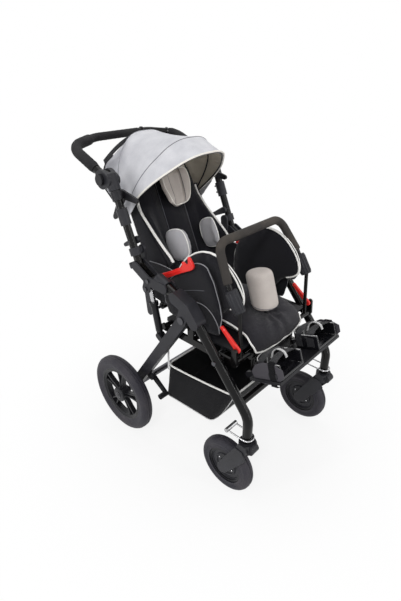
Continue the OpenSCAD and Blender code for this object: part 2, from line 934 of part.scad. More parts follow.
module handle_grips() {
    corner = arm_at(handle_l - handle_bow, frame_x);
    bow_corner = arm_at(handle_l, handle_bow_x);
    joint = mix(corner, bow_corner, grip_joint_share);
    next = joint + move_gap * unit(bow_corner - corner);
    bore = handle_d + 2 * rest_gap;
    mid_sleeve_x = grip_end_x - move_gap;
    color("#2e2e33") {
        both() {
            bent_tube(
                [arm_at(handle_l - handle_bow - handle_bend_r - grip_arm_l, frame_x), corner, joint],
                [handle_bend_r], grip_d, bore
            );
            bent_tube([next, bow_corner, arm_at(handle_l, grip_end_x)], [handle_bow_r], grip_d, bore);
        }
        difference() {
            rod(arm_at(handle_l, -mid_sleeve_x), arm_at(handle_l, mid_sleeve_x), mid_sleeve_d);
            rod(arm_at(handle_l, -grip_end_x), arm_at(handle_l, grip_end_x), bore);
        }
    }
}

// Share of the way from the handle's corner to its bow where the two lengths of a grip meet
grip_joint_share = 0.6;

module handle_button() {
    floor = frame_x + housing_half_w - button_depth + button_floor_gap;
    color("#1c1c20") pin(handle_pivot, button_d, floor, floor + button_depth + button_proud);
}

module handle_button_left() handle_button();

module handle_button_right() mirror([1, 0, 0]) handle_button();

module upright_sleeves() {
    from = lean_up(upright_foot, sleeve_run);
    to = lean_up(from, sleeve_l);
    back = [-cos(back_lean), -sin(back_lean)];
    color("#3a3a40") both() difference() {
        union() {
            rod(spot(from, frame_x), spot(to, frame_x), upright_d + 2 * sleeve_wall);
            for (share = hook_shares) {
                root = mix(from, to, share) + (upright_d / 2 + sleeve_wall / 2) * back;
                rod(spot(root, frame_x), spot(root + hook_l * back, frame_x), hook_d);
            }
        }
        rod(
            spot(lean_up(from, -overrun), frame_x), spot(lean_up(to, overrun), frame_x),
            upright_d + 2 * run_gap
        );
    }
}

// Shares along a sleeve of its two hooks
hook_shares = [0.35, 0.8];

latch_at = lean_up(upright_foot, latch_run);

module fold_latches() {
    end = latch_at + [-latch_l, -latch_drop];
    inner = frame_x - upright_d / 2 - move_gap - latch_t;
    color("#3a3a40") both() {
        plate(inner, inner + latch_t) link(latch_at, end, latch_r + latch_r, latch_r);
        pin(latch_at, bolt_d, inner, frame_x + upright_d / 2);
    }
}

clamp_at = lean_up(upright_foot, clamp_run);

module recline_brackets() {
    to = lean_up(clamp_at, -clamp_l);
    clamp_d = upright_d + 2 * clamp_wall;
    plate_x = rail_x - bracket_gap;
    color("#3a3a40") both() difference() {
        union() {
            rod(spot(to, frame_x), spot(clamp_at, frame_x), clamp_d);
            plate(plate_x, plate_x + bracket_t)
                link(lean_up(clamp_at, -clamp_l / 2), back_hinge, bracket_top_r, bracket_low_r);
            plate(plate_x, frame_x - upright_d / 2 - clamp_wall / 2)
                link(lean_up(clamp_at, -bolt_d), lean_up(to, bolt_d), bolt_d, bolt_d);
            pin(back_hinge, hinge_pin_d, back_tube_x - hinge_eye_w / 2, plate_x + bracket_t);
        }
        rod(
            spot(lean_up(to, -overrun), frame_x), spot(lean_up(clamp_at, overrun), frame_x),
            upright_d + 2 * run_gap
        );
    }
}

// Gap that keeps the brackets inside the rails
bracket_gap = 4;

// Backrest

// Shares along the backrest of its cross bars, which stand level with the tubes' front
back_bar_shares = [0.2, 0.5, 0.8];
back_bar_step = (back_tube_d - cross_d) / 2;

// A place along the backrest, with a step out of it to the front
function back_at(run, front, x) =
    spot(lean_up(back_hinge, run) + front * [cos(back_lean), sin(back_lean)], x);

module backrest_frame() {
    color("#24242a") {
        bent_bar(
            [
                back_at(hinge_eye_d / 4, 0, back_tube_x), back_at(back_frame_l, 0, back_tube_x),
                back_at(back_frame_l, 0, -back_tube_x), back_at(hinge_eye_d / 4, 0, -back_tube_x),
            ],
            [back_bend_r, back_bend_r], back_tube_d
        );
        for (share = back_bar_shares)
            rod(
                back_at(share * back_frame_l, back_bar_step, -back_tube_x),
                back_at(share * back_frame_l, back_bar_step, back_tube_x), cross_d
            );
        both() difference() {
            pin(back_hinge, hinge_eye_d, back_tube_x - hinge_eye_w / 2, back_tube_x + hinge_eye_w / 2);
            pin(back_hinge, hinge_pin_d + 2 * run_gap, back_tube_x - back_tube_d, back_tube_x + back_tube_d);
        }
    }
}

module backrest_cushion() {
    half_w = back_w / 2;
    rear = back_tube_d / 2 + back_pad_gap;
    // Bolsters stand forward at the sides, deepest low on the back
    function bolster(u, t) =
        bolster_depth * smooth((abs(u) - bolster_shares[0]) / bolster_shares[1])
        * smooth((t - bolster_shares[2]) / bolster_shares[3])
        * max(0, min(1, (bolster_shares[4] - t) / bolster_shares[5]));
    function seam(u) = channel(u, seam_share, seam_w_share) + channel(u, -seam_share, seam_w_share);
    function skin(u, v, front) =
        let (
            e = drawn(u, v, corner_share),
            t = (1 + e[1]) / 2,
            h = full(u, v, 6),
            body = back_t / 2 * (1 + front * h * (1 - seam_depth_share * seam(u)))
        ) back_at(
            back_pad_start + t * back_l,
            rear + body + bolster(u, t) * (front > 0 ? 1 : bolster_back_share),
            e[0] * half_w
        );
    color("#1c1c20")
        pad(back_cells, back_cells - 4, function(u, v) skin(u, v, 1), function(u, v) skin(u, v, -1));
}

// Shares of the bolsters' start and blend across, and of their ends along the back
bolster_shares = [0.62, 0.3, 0.18, 0.1, 0.7, 0.42];
bolster_back_share = 0.55;
seam_share = 0.36;
seam_w_share = 0.1;
seam_depth_share = 0.35;

module lateral_pads() {
    function skin(u, v, side) =
        let (
            e = drawn(u, v, lateral_corner_share),
            h = full(u, v) * lateral_t / 2
        ) back_at(
            lateral_run + e[1] * lateral_l / 2,
            back_front + lateral_root + (1 + e[0]) / 2 * lateral_reach,
            lateral_x - lateral_curl * e[0] * e[0] * (e[0] > 0 ? 1 : 0) + side * h
        );
    color("#b8b2a8") both()
        pad(pad_cells, pad_cells - 4, function(u, v) skin(u, v, -1), function(u, v) skin(u, v, 1));
}

lateral_corner_share = 0.7;
// How far the cushion's front face stands before the backrest line, and the pads' step off it
back_front = back_tube_d / 2 + back_pad_gap + back_t;
lateral_root = 0.3;

module headrest_plate() {
    size = [headrest_plate_w, headrest_plate_t, headrest_plate_l];
    color("#2c2c31") translate(back_at(headrest_run, back_front + rest_gap, 0)) rotate([-back_lean, 0, 0])
        translate([-size[0] / 2, -size[1], -size[2] / 2]) cube(size);
}

module headrest_pad() {
    function skin(u, v, front) =
        let (
            e = drawn(u, v, corner_share),
            h = full(u, v) * headrest_t / 2,
            seams = channel(u, head_seam_share, seam_w_share) + channel(u, -head_seam_share, seam_w_share),
            cut = 1 - seam_depth_share * seams
        ) back_at(
            headrest_run + e[1] * headrest_l / 2,
            back_front + 2 * rest_gap + headrest_plate_t + headrest_t / 2
                + headrest_wing * smooth(abs(e[0])) + (front > 0 ? h * cut : -h),
            e[0] * headrest_w / 2
        );
    color("#b3ada6")
        pad(pad_cells, pad_cells - 4, function(u, v) skin(u, v, 1), function(u, v) skin(u, v, -1));
}

head_seam_share = 0.36;

// Canopy

// An arch's corners in its own plane: up the side, in over the shoulder and across the top
function arch_corners(half_w, reach) = [
    [half_w, 0], [half_w, shoulder_share * reach], [crown_w_share * half_w, reach],
    [-crown_w_share * half_w, reach], [-half_w, shoulder_share * reach], [-half_w, 0],
];
shoulder_share = 0.56;
crown_w_share = 0.42;

// A place along half of an arch, with both of its corners rounded
function arch(share, half_w, reach) =
    let (
        c = arch_corners(half_w, reach),
        slant = norm(c[2] - c[1]),
        lift = atan2(c[2][1] - c[1][1], c[1][0] - c[2][0]),
        side_turn = 90 - lift,
        side_tail = bow_side_r * tan(side_turn / 2),
        top_tail = bow_top_r * tan(lift / 2),
        runs = [
            c[1][1] - side_tail, bow_side_r * side_turn * PI / 180, slant - side_tail - top_tail,
            bow_top_r * lift * PI / 180, c[2][0] - top_tail,
        ],
        way = [-cos(lift), sin(lift)],
        ends = [
            runs[0], runs[0] + runs[1], runs[0] + runs[1] + runs[2],
            runs[0] + runs[1] + runs[2] + runs[3],
        ],
        whole = ends[3] + runs[4],
        run = whole * (1 - abs(1 - 2 * share)),
        side_deg = (run - ends[0]) / runs[1] * side_turn,
        top_deg = lift - (run - ends[2]) / runs[3] * lift,
        p = run < ends[0] ? [half_w, run]
            : run < ends[1] ? [
                half_w - bow_side_r * (1 - cos(side_deg)), runs[0] + bow_side_r * sin(side_deg),
            ]
            : run < ends[2] ? c[1] + (side_tail + run - ends[1]) * way
            : run < ends[3] ? [
                c[2][0] - top_tail + bow_top_r * sin(top_deg), reach - bow_top_r * (1 - cos(top_deg)),
            ]
            : [c[2][0] - top_tail - (run - ends[3]), reach]
    ) [share > 1 / 2 ? -p[0] : p[0], p[1]];
// A place in a bow's plane, turned about the pivots by the bow's lean
function bow_at(p, lean) =
    spot(canopy_pivot + p[1] * [-sin(lean), cos(lean)], p[0]);

module bow(x, reach, lean) {
    eye_d = 4 * bow_d;
    color("#35353a") {
        both() difference() {
            pin(canopy_pivot, eye_d, x - bow_eye_t / 2, x + bow_eye_t / 2);
            pin(canopy_pivot, stay_pin_d + 2 * run_gap, x - bow_d, x + bow_d);
        }
        difference() {
            bent_bar(
                [for (p = arch_corners(x, reach)) bow_at(p, lean)],
                [bow_side_r, bow_top_r, bow_top_r, bow_side_r], bow_d
            );
            both() pin(canopy_pivot, eye_d - bow_d, x - bow_d, x + bow_d);
        }
    }
}

module canopy_rear_bow() bow(canopy_half_w - bow_step, rear_bow_l, rear_bow_lean);

module canopy_mid_bow() bow(canopy_half_w, mid_bow_l, mid_bow_lean);

module canopy_front_bow() bow(canopy_half_w + bow_step, front_bow_l, front_bow_lean);

// Clamps on the uprights that carry the canopy's pivots and a short arm to the front
module canopy_stays() {
    from = lean_up(upright_foot, stay_run);
    to = lean_up(from, -stay_l);
    middle = lean_up(from, -stay_l / 2);
    outer = frame_x - upright_d / 2 - clamp_wall / 2;
    inner = outer - clamp_wall - stay_t;
    color("#2c2c31") both() difference() {
        union() {
            rod(spot(to, frame_x), spot(from, frame_x), upright_d + 2 * clamp_wall);
            plate(inner, inner + stay_t) {
                link(middle, canopy_pivot, stay_l / 2, stay_r);
                link(middle, middle + stay_reach * stay_way, stay_l / 2, stay_r);
            }
            plate(inner, outer) link(middle, lean_up(middle, stay_r), stay_r, stay_r);
            pin(canopy_pivot, stay_pin_d, canopy_half_w - bow_step - bow_d, inner + stay_t);
        }
        rod(
            spot(lean_up(to, -overrun), frame_x), spot(lean_up(from, overrun), frame_x),
            upright_d + 2 * run_gap
        );
    }
}

// Way of the stays' short arms
stay_fall = 8;
stay_way = [cos(stay_fall), -sin(stay_fall)];

module canopy_cover() {
    rows = [
        [canopy_half_w - bow_step, rear_edge_l, rear_edge_lean],
        [canopy_half_w - bow_step, rear_bow_l, rear_bow_lean],
        [canopy_half_w, mid_bow_l, mid_bow_lean],
        [canopy_half_w + bow_step, front_bow_l, front_bow_lean],
    ];
    function skin(row, share, layer) =
        let (
            i = min(floor(row), len(rows) - 2),
            out = bow_d / 2 + bend_step + cover_gap + layer * cover_t,
            at = function(n) bow_at(arch(share, rows[n][0] + out, rows[n][1] + out), rows[n][2])
        ) mix(at(i), at(i + 1), row - i);
    across = 2 * pad_cells;
    along = cover_rows * (len(rows) - 1);
    count = (across + 1) * (along + 1);
    points = [
        for (layer = [0, 1]) for (i = [0 : along]) for (j = [0 : across])
            skin(i / cover_rows, cover_end_share + (1 - 2 * cover_end_share) * j / across, layer)
    ];
    function id(layer, i, j) = layer * count + i * (across + 1) + j;
    function quad(a, b, c, d) = [[a, b, c], [a, c, d]];
    color("#c9cace") polyhedron(points, [
        for (i = [0 : along - 1]) for (j = [0 : across - 1]) each concat(
            quad(id(1, i, j), id(1, i, j + 1), id(1, i + 1, j + 1), id(1, i + 1, j)),
            quad(id(0, i, j), id(0, i + 1, j), id(0, i + 1, j + 1), id(0, i, j + 1))
        ),
        for (i = [0 : along - 1]) each concat(
            quad(id(0, i, 0), id(1, i, 0), id(1, i + 1, 0), id(0, i + 1, 0)),
            quad(id(0, i, across), id(0, i + 1, across), id(1, i + 1, across), id(1, i, across))
        ),
        for (j = [0 : across - 1]) each concat(
            quad(id(0, 0, j), id(0, 0, j + 1), id(1, 0, j + 1), id(1, 0, j)),
            quad(id(0, along, j), id(1, along, j), id(1, along, j + 1), id(0, along, j + 1))
        ),
    ]);
}

// Rows of the cover between two bows, and the share of a bow left bare at its ends
cover_rows = 4;
cover_end_share = 0.04;

// Legrest and footplate

legrest_hinge = [legrest_ahead, seat_height - legrest_drop];
ear_x = legrest_tube_x + legrest_eye_w / 2 + ear_gap;
foot_hinge = [legrest_ahead, seat_height - foot_hinge_drop];
// A place on the footplate, from its hinge, with a step up off it
function foot_at(run, up, x) =
    spot(foot_hinge + run * [cos(foot_tilt), sin(foot_tilt)] + up * [-sin(foot_tilt), cos(foot_tilt)], x);

module legrest_frame() {
    eye_in = legrest_tube_x - legrest_eye_w / 2;
    eye_out = legrest_tube_x + legrest_eye_w / 2;
    color("#24242a") {
        both() difference() {
            union() {
                rod(spot(legrest_hinge, legrest_tube_x), spot(foot_hinge, legrest_tube_x), legrest_tube_d);
                pin(legrest_hinge, legrest_eye_d, eye_in, eye_out);
                pin(foot_hinge, foot_hinge_eye_d, eye_in, eye_out);
            }
            pin(legrest_hinge, hinge_pin_d + 2 * run_gap, 0, 2 * legrest_tube_x);
            pin(foot_hinge, foot_hinge_d + 2 * run_gap, 0, 2 * legrest_tube_x);
        }
        pin(
            mix(legrest_hinge, foot_hinge, cross_share), cross_d,
            -legrest_tube_x, legrest_tube_x
        );
    }
}

// Shares of the way down the legrest of its cross bar and of the calf pad's ends
cross_share = 0.6;
calf_shares = [0.2, 0.95];

module calf_pad() {
    function skin(u, v, front) =
        let (e = drawn(u, v, corner_share), h = full(u, v) * calf_t / 2)
        spot(
            mix(legrest_hinge, foot_hinge, mix(calf_shares[0], calf_shares[1], (1 - e[1]) / 2))
                + [legrest_tube_d / 2 + rest_gap + calf_t / 2 + front * h, 0],
            e[0] * calf_w / 2
        );
    color("#1c1c20")
        pad(pad_cells, pad_cells - 4, function(u, v) skin(u, v, 1), function(u, v) skin(u, v, -1));
}

module footplate() {
    color("#232328") {
        difference() {
            translate(foot_at(0, foot_hinge_eye_d / 2, 0)) rotate([-foot_tilt, 0, 0])
                translate([-foot_w / 2, -foot_l, 0]) cube([foot_w, foot_l - foot_start, foot_plate_t]);
            both() pin(
                foot_hinge, foot_hinge_eye_d + 2 * move_gap,
                legrest_tube_x - legrest_eye_w / 2 - move_gap, legrest_tube_x + legrest_eye_w / 2 + move_gap
            );
        }
        pin(foot_hinge, foot_hinge_d, -legrest_tube_x - legrest_eye_w, legrest_tube_x + legrest_eye_w);
        both() plate(legrest_tube_x + legrest_eye_w / 2 + move_gap, legrest_tube_x + legrest_eye_w)
            link(foot_hinge, [foot_at_side[0], foot_at_side[1]], foot_hinge_d, foot_plate_t / 2);
    }
}

foot_at_side = foot_hinge + foot_ear_l * [cos(foot_tilt), sin(foot_tilt)]
    + (foot_hinge_eye_d / 2 + foot_plate_t / 2) * [-sin(foot_tilt), cos(foot_tilt)];

module foot_sandals() {
    outer_r = sandal_w / 2;
    module cup(r, front) {
        translate([0, outer_r - sandal_l]) circle(r);
        translate([-r, outer_r - sandal_l - front]) square([2 * r, sandal_l - outer_r + front]);
    }
    sole = foot_hinge_eye_d / 2 + foot_plate_t + rest_gap;
    color("#26262b") both() translate(foot_at(foot_l, sole, (sandal_gap + sandal_w) / 2))
        rotate([-foot_tilt, 0, 0]) mirror([0, 1, 0]) difference() {
            linear_extrude(sandal_h) intersection() {
                cup(outer_r, 0);
                translate([-outer_r, -sandal_l]) square([sandal_w, sandal_l]);
            }
            translate([0, 0, sandal_wall]) linear_extrude(sandal_h) cup(outer_r - sandal_wall, 0);
        }
}

// Red levers

module recline_levers() {
    root = knuckle + [0, recline_lever_rise];
    way = [cos(recline_lever_lift), sin(recline_lever_lift)];
    end = root + recline_lever_l * way;
    color("#d8241f") both() {
        plate(lever_x, lever_x + lever_t) {
            link(root, end, recline_lever_r, recline_lever_r);
            link(end, end + recline_grip_l * turn(way, 90), recline_lever_r, recline_lever_r / 2);
        }
        pin(root, bolt_d, lever_x, frame_x - knuckle_half_w - rest_gap);
    }
}

legrest_lever_root = [legrest_lever_ahead, seat_height + legrest_lever_rise];

module legrest_levers() {
    root = legrest_lever_root;
    end = root + legrest_lever_l * [-cos(legrest_lever_lift), sin(legrest_lever_lift)];
    color("#d8241f") both() {
        plate(lever_x, lever_x + lever_t) link(root, end, legrest_lever_r, legrest_lever_r / 2);
        pin(root, bolt_d, lever_x, rail_x - rest_gap);
    }
}

// Basket

module basket() {
    corners = [basket_rear_top, basket_front_top, basket_front_low, basket_rear_low];
    centre = (corners[0] + corners[1] + corners[2] + corners[3]) / len(corners);
    rail_low = seat_height - rail_drop - rail_depth / 2;
    half_w = basket_w / 2;
    strap_end = on_leg(front_cross_height + 2 * strap_w);
    function inner(p, up) = [p[0] + (p[0] < centre[0] ? basket_wall : -basket_wall), p[1] + up];
    color("#1a1a1e") {
        difference() {
            plate(-half_w, half_w) polygon([for (p = corners) flat(p)]);
            plate(-half_w + basket_wall, half_w - basket_wall) polygon([
                flat(inner(corners[0], basket_wall)), flat(inner(corners[1], basket_wall)),
                flat(inner(corners[2], basket_wall)), flat(inner(corners[3], basket_wall)),
            ]);
        }
        both() {
            plate(half_w, half_w + strap_t) polygon([
                for (p = [
                    basket_rear_top + [0, -strap_w], basket_rear_top + [strap_w, -strap_w],
                    [basket_rear_top[0] + strap_w, rail_low], [basket_rear_top[0], rail_low],
                ]) flat(p)
            ]);
            plate(half_w, half_w + strap_t)
                link(basket_front_top - [strap_w, strap_w], strap_end, strap_w / 2, strap_w / 2);
            pin(strap_end, strap_pin_d, half_w, frame_x - leg_d / 2);
        }
    }
}

// Rear legs

module rear_struts() {
    inner = frame_x - strut_w / 2;
    outer = frame_x + strut_w / 2;
    lug = strut_pivot + brace_along * strut_way;
    color("#34343a") both() difference() {
        union() {
            plate(inner, outer) link(strut_pivot, axle, strut_eye_r, strut_eye_r);
            for (x = [inner, outer - ear_t]) plate(x, x + ear_t) link(lug, open_pivot, ear_r, ear_r);
            pin(open_pivot, open_pin_d, inner, outer);
            plate(inner, inner + brake_arm_t)
                link(strut_pivot + brake_along * strut_way, brake_pivot, brake_shaft_d, brake_shaft_d);
        }
        pin(strut_pivot, pin_d + 2 * run_gap, hub_x, frame_x + leg_d);
        pin(axle, axle_d + 2 * run_gap, hub_x, frame_x + leg_d);
        pin(brake_pivot, brake_shaft_d + 2 * run_gap, hub_x, frame_x + leg_d);
    }
}

module rear_axle() {
    outer = frame_x + strut_w / 2;
    hub_in = rear_wheel_x - rear_hub_l / 2;
    hub_out = rear_wheel_x + rear_hub_l / 2;
    color("#8f9296") {
        pin(axle, axle_d, -hub_out - hub_side_gap, hub_out + hub_side_gap);
        pin(axle, axle_tube_d, strut_w / 2 - frame_x, frame_x - strut_w / 2);
        both() {
            pin(axle, axle_collar_d, outer, hub_in - hub_side_gap);
            pin(axle, axle_cap_d, hub_out + hub_side_gap, hub_out + hub_side_gap + axle_cap_t);
        }
    }
}

module brace_rods() {
    rod_end = brace_pivot + brace_rod_l * brace_way;
    color("#8f9296") both() difference() {
        union() {
            rod(spot(brace_pivot, frame_x), spot(rod_end, frame_x), brace_rod_d);
            pin(brace_pivot, brace_eye_d, frame_x - brace_eye_t / 2, frame_x + brace_eye_t / 2);
        }
        pin(brace_pivot, hinge_pin_d + 2 * run_gap, hub_x, frame_x + leg_d);
    }
}

module brace_tubes() {
    top = open_pivot - brace_tube_l * brace_way;
    bottom = open_pivot - open_neck * brace_way;
    color("#2c2c31") both() difference() {
        union() {
            rod(spot(top, frame_x), spot(bottom, frame_x), brace_tube_d);
            rod(spot(top, frame_x), spot(top + collar_l * brace_way, frame_x), collar_d);
            plate(frame_x - brace_eye_t / 2, frame_x + brace_eye_t / 2) link(
                open_pivot, open_pivot - (open_neck + collar_l) * brace_way,
                open_eye_d / 2, brace_rod_d / 2
            );
        }
        rod(
            spot(top - overrun * brace_way, frame_x),
            spot(brace_pivot + (brace_rod_l + overrun) * brace_way, frame_x), brace_rod_d + 2 * run_gap
        );
        pin(open_pivot, open_hole_d, hub_x, frame_x + leg_d);
    }
}

brake_pivot = strut_pivot + brake_along * strut_way - brake_off * strut_side;

module brake_levers() {
    end = brake_pivot + brake_arm_l * [sin(brake_arm_lean), -cos(brake_arm_lean)];
    inner = frame_x - strut_w / 2;
    arm_x = inner - move_gap - brake_arm_t;
    color("#1c1c20") both() {
        plate(arm_x, arm_x + brake_arm_t)
            link(brake_pivot, end, brake_arm_r + brake_shaft_d / 4, brake_arm_r);
        pin(brake_pivot, brake_shaft_d, arm_x, inner + brake_arm_t);
        pin(end, brake_pedal_d, arm_x, arm_x + brake_pedal_l);
    }
}

// Wheels

module rear_rim() {
    outer_r = rear_rim_d / 2;
    inner_r = outer_r - rim_lip - spoke_t;
    hub_r_in = rear_hub_d / 2;
    color("#26262b") translate([rear_wheel_x, axle_y, axle_height]) rotate([0, 90, 0]) difference() {
        union() {
            rotate_extrude() translate([inner_r, -rear_rim_w / 2]) square([outer_r - inner_r, rear_rim_w]);
            cylinder(d = rear_hub_d, h = rear_hub_l, center = true);
            for (i = [0 : rear_spokes - 1]) for (side = [-1, 1])
                rotate(i * 360 / rear_spokes + side * spoke_spread)
                    translate([hub_r_in - spoke_w, -spoke_w / 2, -spoke_t / 2])
                    cube([inner_r - hub_r_in + spoke_w + rim_lip, spoke_w, spoke_t]);
        }
        cylinder(d = axle_d + 2 * run_gap, h = 2 * rear_hub_l, center = true);
    }
}

module rear_tyre() {
    r = rear_tyre_w / 2;
    seat_r = rear_rim_d / 2;
    color("#3c3c42") translate([rear_wheel_x, axle_y, axle_height]) rotate([0, 90, 0])
        rotate_extrude() difference() {
            union() {
                translate([rear_wheel_d / 2 - r, 0]) circle(r);
                translate([seat_r, -rear_rim_w / 2]) square([r, rear_rim_w]);
            }
            translate([0, -rear_tyre_w]) square([seat_r, 2 * rear_tyre_w]);
        }
}

module rear_rim_left() rear_rim();

module rear_rim_right() mirror([1, 0, 0]) rear_rim();

module rear_tyre_left() rear_tyre();

module rear_tyre_right() mirror([1, 0, 0]) rear_tyre();

caster_at = [frame_x, axle_y - wheelbase + caster_trail, caster_d / 2];

module caster_rim() {
    outer_r = caster_rim_d / 2;
    color("#3a3a40") translate(caster_at) rotate([0, 90, 0]) difference() {
        union() {
            rotate_extrude() translate([outer_r - rim_lip, -caster_rim_w / 2])
                square([rim_lip, caster_rim_w]);
            cylinder(r = outer_r - rim_lip / 2, h = caster_web_t, center = true);
            cylinder(d = caster_hub_d, h = caster_tyre_w, center = true);
        }
        cylinder(d = caster_axle_d + 2 * run_gap, h = 2 * caster_tyre_w, center = true);
    }
}

module caster_tyre() {
    seat_r = caster_rim_d / 2;
    r = caster_tyre_w / 2;
    color("#3c3c42") translate(caster_at) rotate([0, 90, 0]) rotate_extrude() difference() {
        union() {
            translate([caster_d / 2 - r, 0]) circle(r);
            translate([seat_r, -caster_tyre_w / 2]) square([caster_d / 2 - r - seat_r, caster_tyre_w]);
        }
        translate([0, -caster_tyre_w]) square([seat_r, 2 * caster_tyre_w]);
    }
}

module caster_fork() {
    crown_top = leg_foot_height - fork_top_gap;
    crown_low = crown_top - fork_crown_l;
    stem = [wheelbase, crown_top];
    shoulder = [wheelbase, crown_top - fork_arm_r];
    wheel = [wheelbase - caster_trail, caster_d / 2];
    nose = [wheelbase + fork_nose_ahead, crown_top - fork_crown_l / 2];
    color("#3a3a40") {
        translate(spot([wheelbase, crown_low], frame_x)) cylinder(d = fork_crown_d, h = fork_crown_l);
        plate(frame_x - fork_nose_r, frame_x + fork_nose_r) link(shoulder, nose, fork_nose_r, fork_nose_r);
        for (x = [frame_x - fork_half_w, frame_x + fork_half_w - fork_t])
            plate(x, x + fork_t) link(shoulder, wheel, fork_arm_r, fork_foot_r);
        plate(frame_x - fork_half_w, frame_x + fork_half_w) intersection() {
            link(shoulder, wheel, fork_arm_r, fork_foot_r);
            translate(flat([wheelbase + fork_arm_r, crown_low])) square([2 * fork_arm_r, fork_crown_l]);
        }
        pin(wheel, caster_axle_d, frame_x - fork_half_w, frame_x + fork_half_w);
    }
    color("#9a9da2") translate(spot(stem, frame_x)) cylinder(d = stem_d, h = stem_depth - overrun);
}

module swivel_lock() {
    at = [wheelbase, leg_foot_height + lock_rise];
    rear = [wheelbase - lock_back, leg_foot_height + lock_rise];
    color("#c4c6cb") {
        both_arms() rod(
            spot(at + [bend_lap, 0], frame_x + lock_r), spot(rear, frame_x + lock_r), lock_wire_d
        );
        translate(spot(at, frame_x)) rotate(180)
            rotate_extrude(angle = 180) translate([lock_r, 0]) circle(d = lock_wire_d + bend_step);
        both_arms() pin(at - [lock_wire_d, 0], lock_pin_d, frame_x + leg_d / 2 + rest_gap, frame_x + lock_r);
    }
    knob_half = lock_r + lock_wire_d;
    color("#1c1c20") pin(rear, lock_knob_d, frame_x - knob_half, frame_x + knob_half);
}

// The same piece on both flanks of a leg
module both_arms() {
    children();
    translate([frame_x, 0, 0]) mirror([1, 0, 0]) translate([-frame_x, 0, 0]) children();
}

module caster_fork_left() caster_fork();

module caster_fork_right() mirror([1, 0, 0]) caster_fork();

module caster_rim_left() caster_rim();

module caster_rim_right() mirror([1, 0, 0]) caster_rim();

module caster_tyre_left() caster_tyre();

module caster_tyre_right() mirror([1, 0, 0]) caster_tyre();

module swivel_lock_left() swivel_lock();

module swivel_lock_right() mirror([1, 0, 0]) swivel_lock();

front_legs();
hub_housings();
knuckles();
seat_frame();
front_cross_tube();
seat_pan();
seat_cushion();
side_wings();
side_panels();
bar_sockets();
basket();
frame_bolts();
pommel_post();
pommel_pad();
uprights();
handle_housings();
upright_sleeves();
recline_brackets();
fold_latches();
push_handle();
handle_grips();
handle_button_right();
handle_button_left();
backrest_frame();
backrest_cushion();
lateral_pads();
headrest_plate();
headrest_pad();
canopy_rear_bow();
canopy_mid_bow();
canopy_front_bow();
canopy_stays();
canopy_cover();
bumper_bar();
bumper_foam();
legrest_frame();
calf_pad();
footplate();
foot_sandals();
recline_levers();
legrest_levers();
rear_struts();
rear_axle();
brace_rods();
brace_tubes();
brake_levers();
rear_rim_right();
rear_rim_left();
rear_tyre_right();
rear_tyre_left();
caster_fork_right();
caster_fork_left();
caster_rim_right();
caster_rim_left();
caster_tyre_right();
caster_tyre_left();
swivel_lock_right();
swivel_lock_left();
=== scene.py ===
"""Looks of the special needs buggy: its soft goods, trim, wheels and finishes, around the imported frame."""

import json
import logging
from contextlib import contextmanager
from dataclasses import dataclass
from enum import Enum
from math import atan2, copysign, cos, degrees, exp, hypot, pi, radians, sin, sqrt, tan
from typing import Callable, Iterable, Iterator, Sequence

import bmesh
import bpy
from mathutils import Matrix, Vector
from mathutils.bvhtree import BVHTree
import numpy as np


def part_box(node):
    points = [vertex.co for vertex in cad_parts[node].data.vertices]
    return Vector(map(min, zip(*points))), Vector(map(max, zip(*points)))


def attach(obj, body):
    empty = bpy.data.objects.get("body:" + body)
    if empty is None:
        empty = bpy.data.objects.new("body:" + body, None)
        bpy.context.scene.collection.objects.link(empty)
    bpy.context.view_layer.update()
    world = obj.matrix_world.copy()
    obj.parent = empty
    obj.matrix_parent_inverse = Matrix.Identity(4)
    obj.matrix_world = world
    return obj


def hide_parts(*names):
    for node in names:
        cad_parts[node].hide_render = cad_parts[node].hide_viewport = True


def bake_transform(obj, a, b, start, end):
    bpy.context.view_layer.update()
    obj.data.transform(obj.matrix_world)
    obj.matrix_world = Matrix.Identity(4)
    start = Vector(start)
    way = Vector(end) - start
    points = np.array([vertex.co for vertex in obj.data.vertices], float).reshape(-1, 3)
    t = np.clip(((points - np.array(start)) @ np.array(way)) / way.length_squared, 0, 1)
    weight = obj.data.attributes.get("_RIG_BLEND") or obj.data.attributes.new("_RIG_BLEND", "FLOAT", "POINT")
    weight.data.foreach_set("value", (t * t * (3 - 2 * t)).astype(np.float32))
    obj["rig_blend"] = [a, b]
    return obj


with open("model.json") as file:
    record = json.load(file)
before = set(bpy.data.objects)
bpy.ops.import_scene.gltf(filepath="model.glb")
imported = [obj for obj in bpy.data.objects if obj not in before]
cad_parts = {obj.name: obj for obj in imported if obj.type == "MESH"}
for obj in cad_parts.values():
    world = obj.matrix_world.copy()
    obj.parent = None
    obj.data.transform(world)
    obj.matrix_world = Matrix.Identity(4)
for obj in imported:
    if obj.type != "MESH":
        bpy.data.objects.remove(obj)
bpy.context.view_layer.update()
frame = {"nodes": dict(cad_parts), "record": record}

LOG = logging.getLogger("buggy")
MM = 0.001
REAR_AXLE = 270.0
SIDES = {-1: "right", 1: "left"}
SOFT_CREASE = 60.0
SHARP_EDGE = radians(50)
PIPING_GAP = 6 * MM

Point = tuple[float, float]
Place = tuple[float, float, float]
Line = tuple[Point, ...]
Rgb = tuple[int, int, int]
Piece = bpy.types.Object
Socket = bpy.types.NodeSocket


def spot(ahead: float, height: float, across: float = 0.0) -> Vector:
    """A place of the buggy in metres, from millimetres ahead of the rear axle, above the floor and across."""
    return Vector((across * MM, (REAR_AXLE - ahead) * MM, height * MM))


def smooth(t: float) -> float:
    """A soft step from 0 to 1."""
    k = max(0.0, min(1.0, t))
    return k * k * (3 - 2 * k)


def mix(a: float, b: float, share: float) -> float:
    """The value a share of the way from a to b."""
    return a + share * (b - a)


def ahead_of(place: Vector) -> float:
    """How far ahead of the rear axle a place lies, in millimetres."""
    return REAR_AXLE - place.y / MM


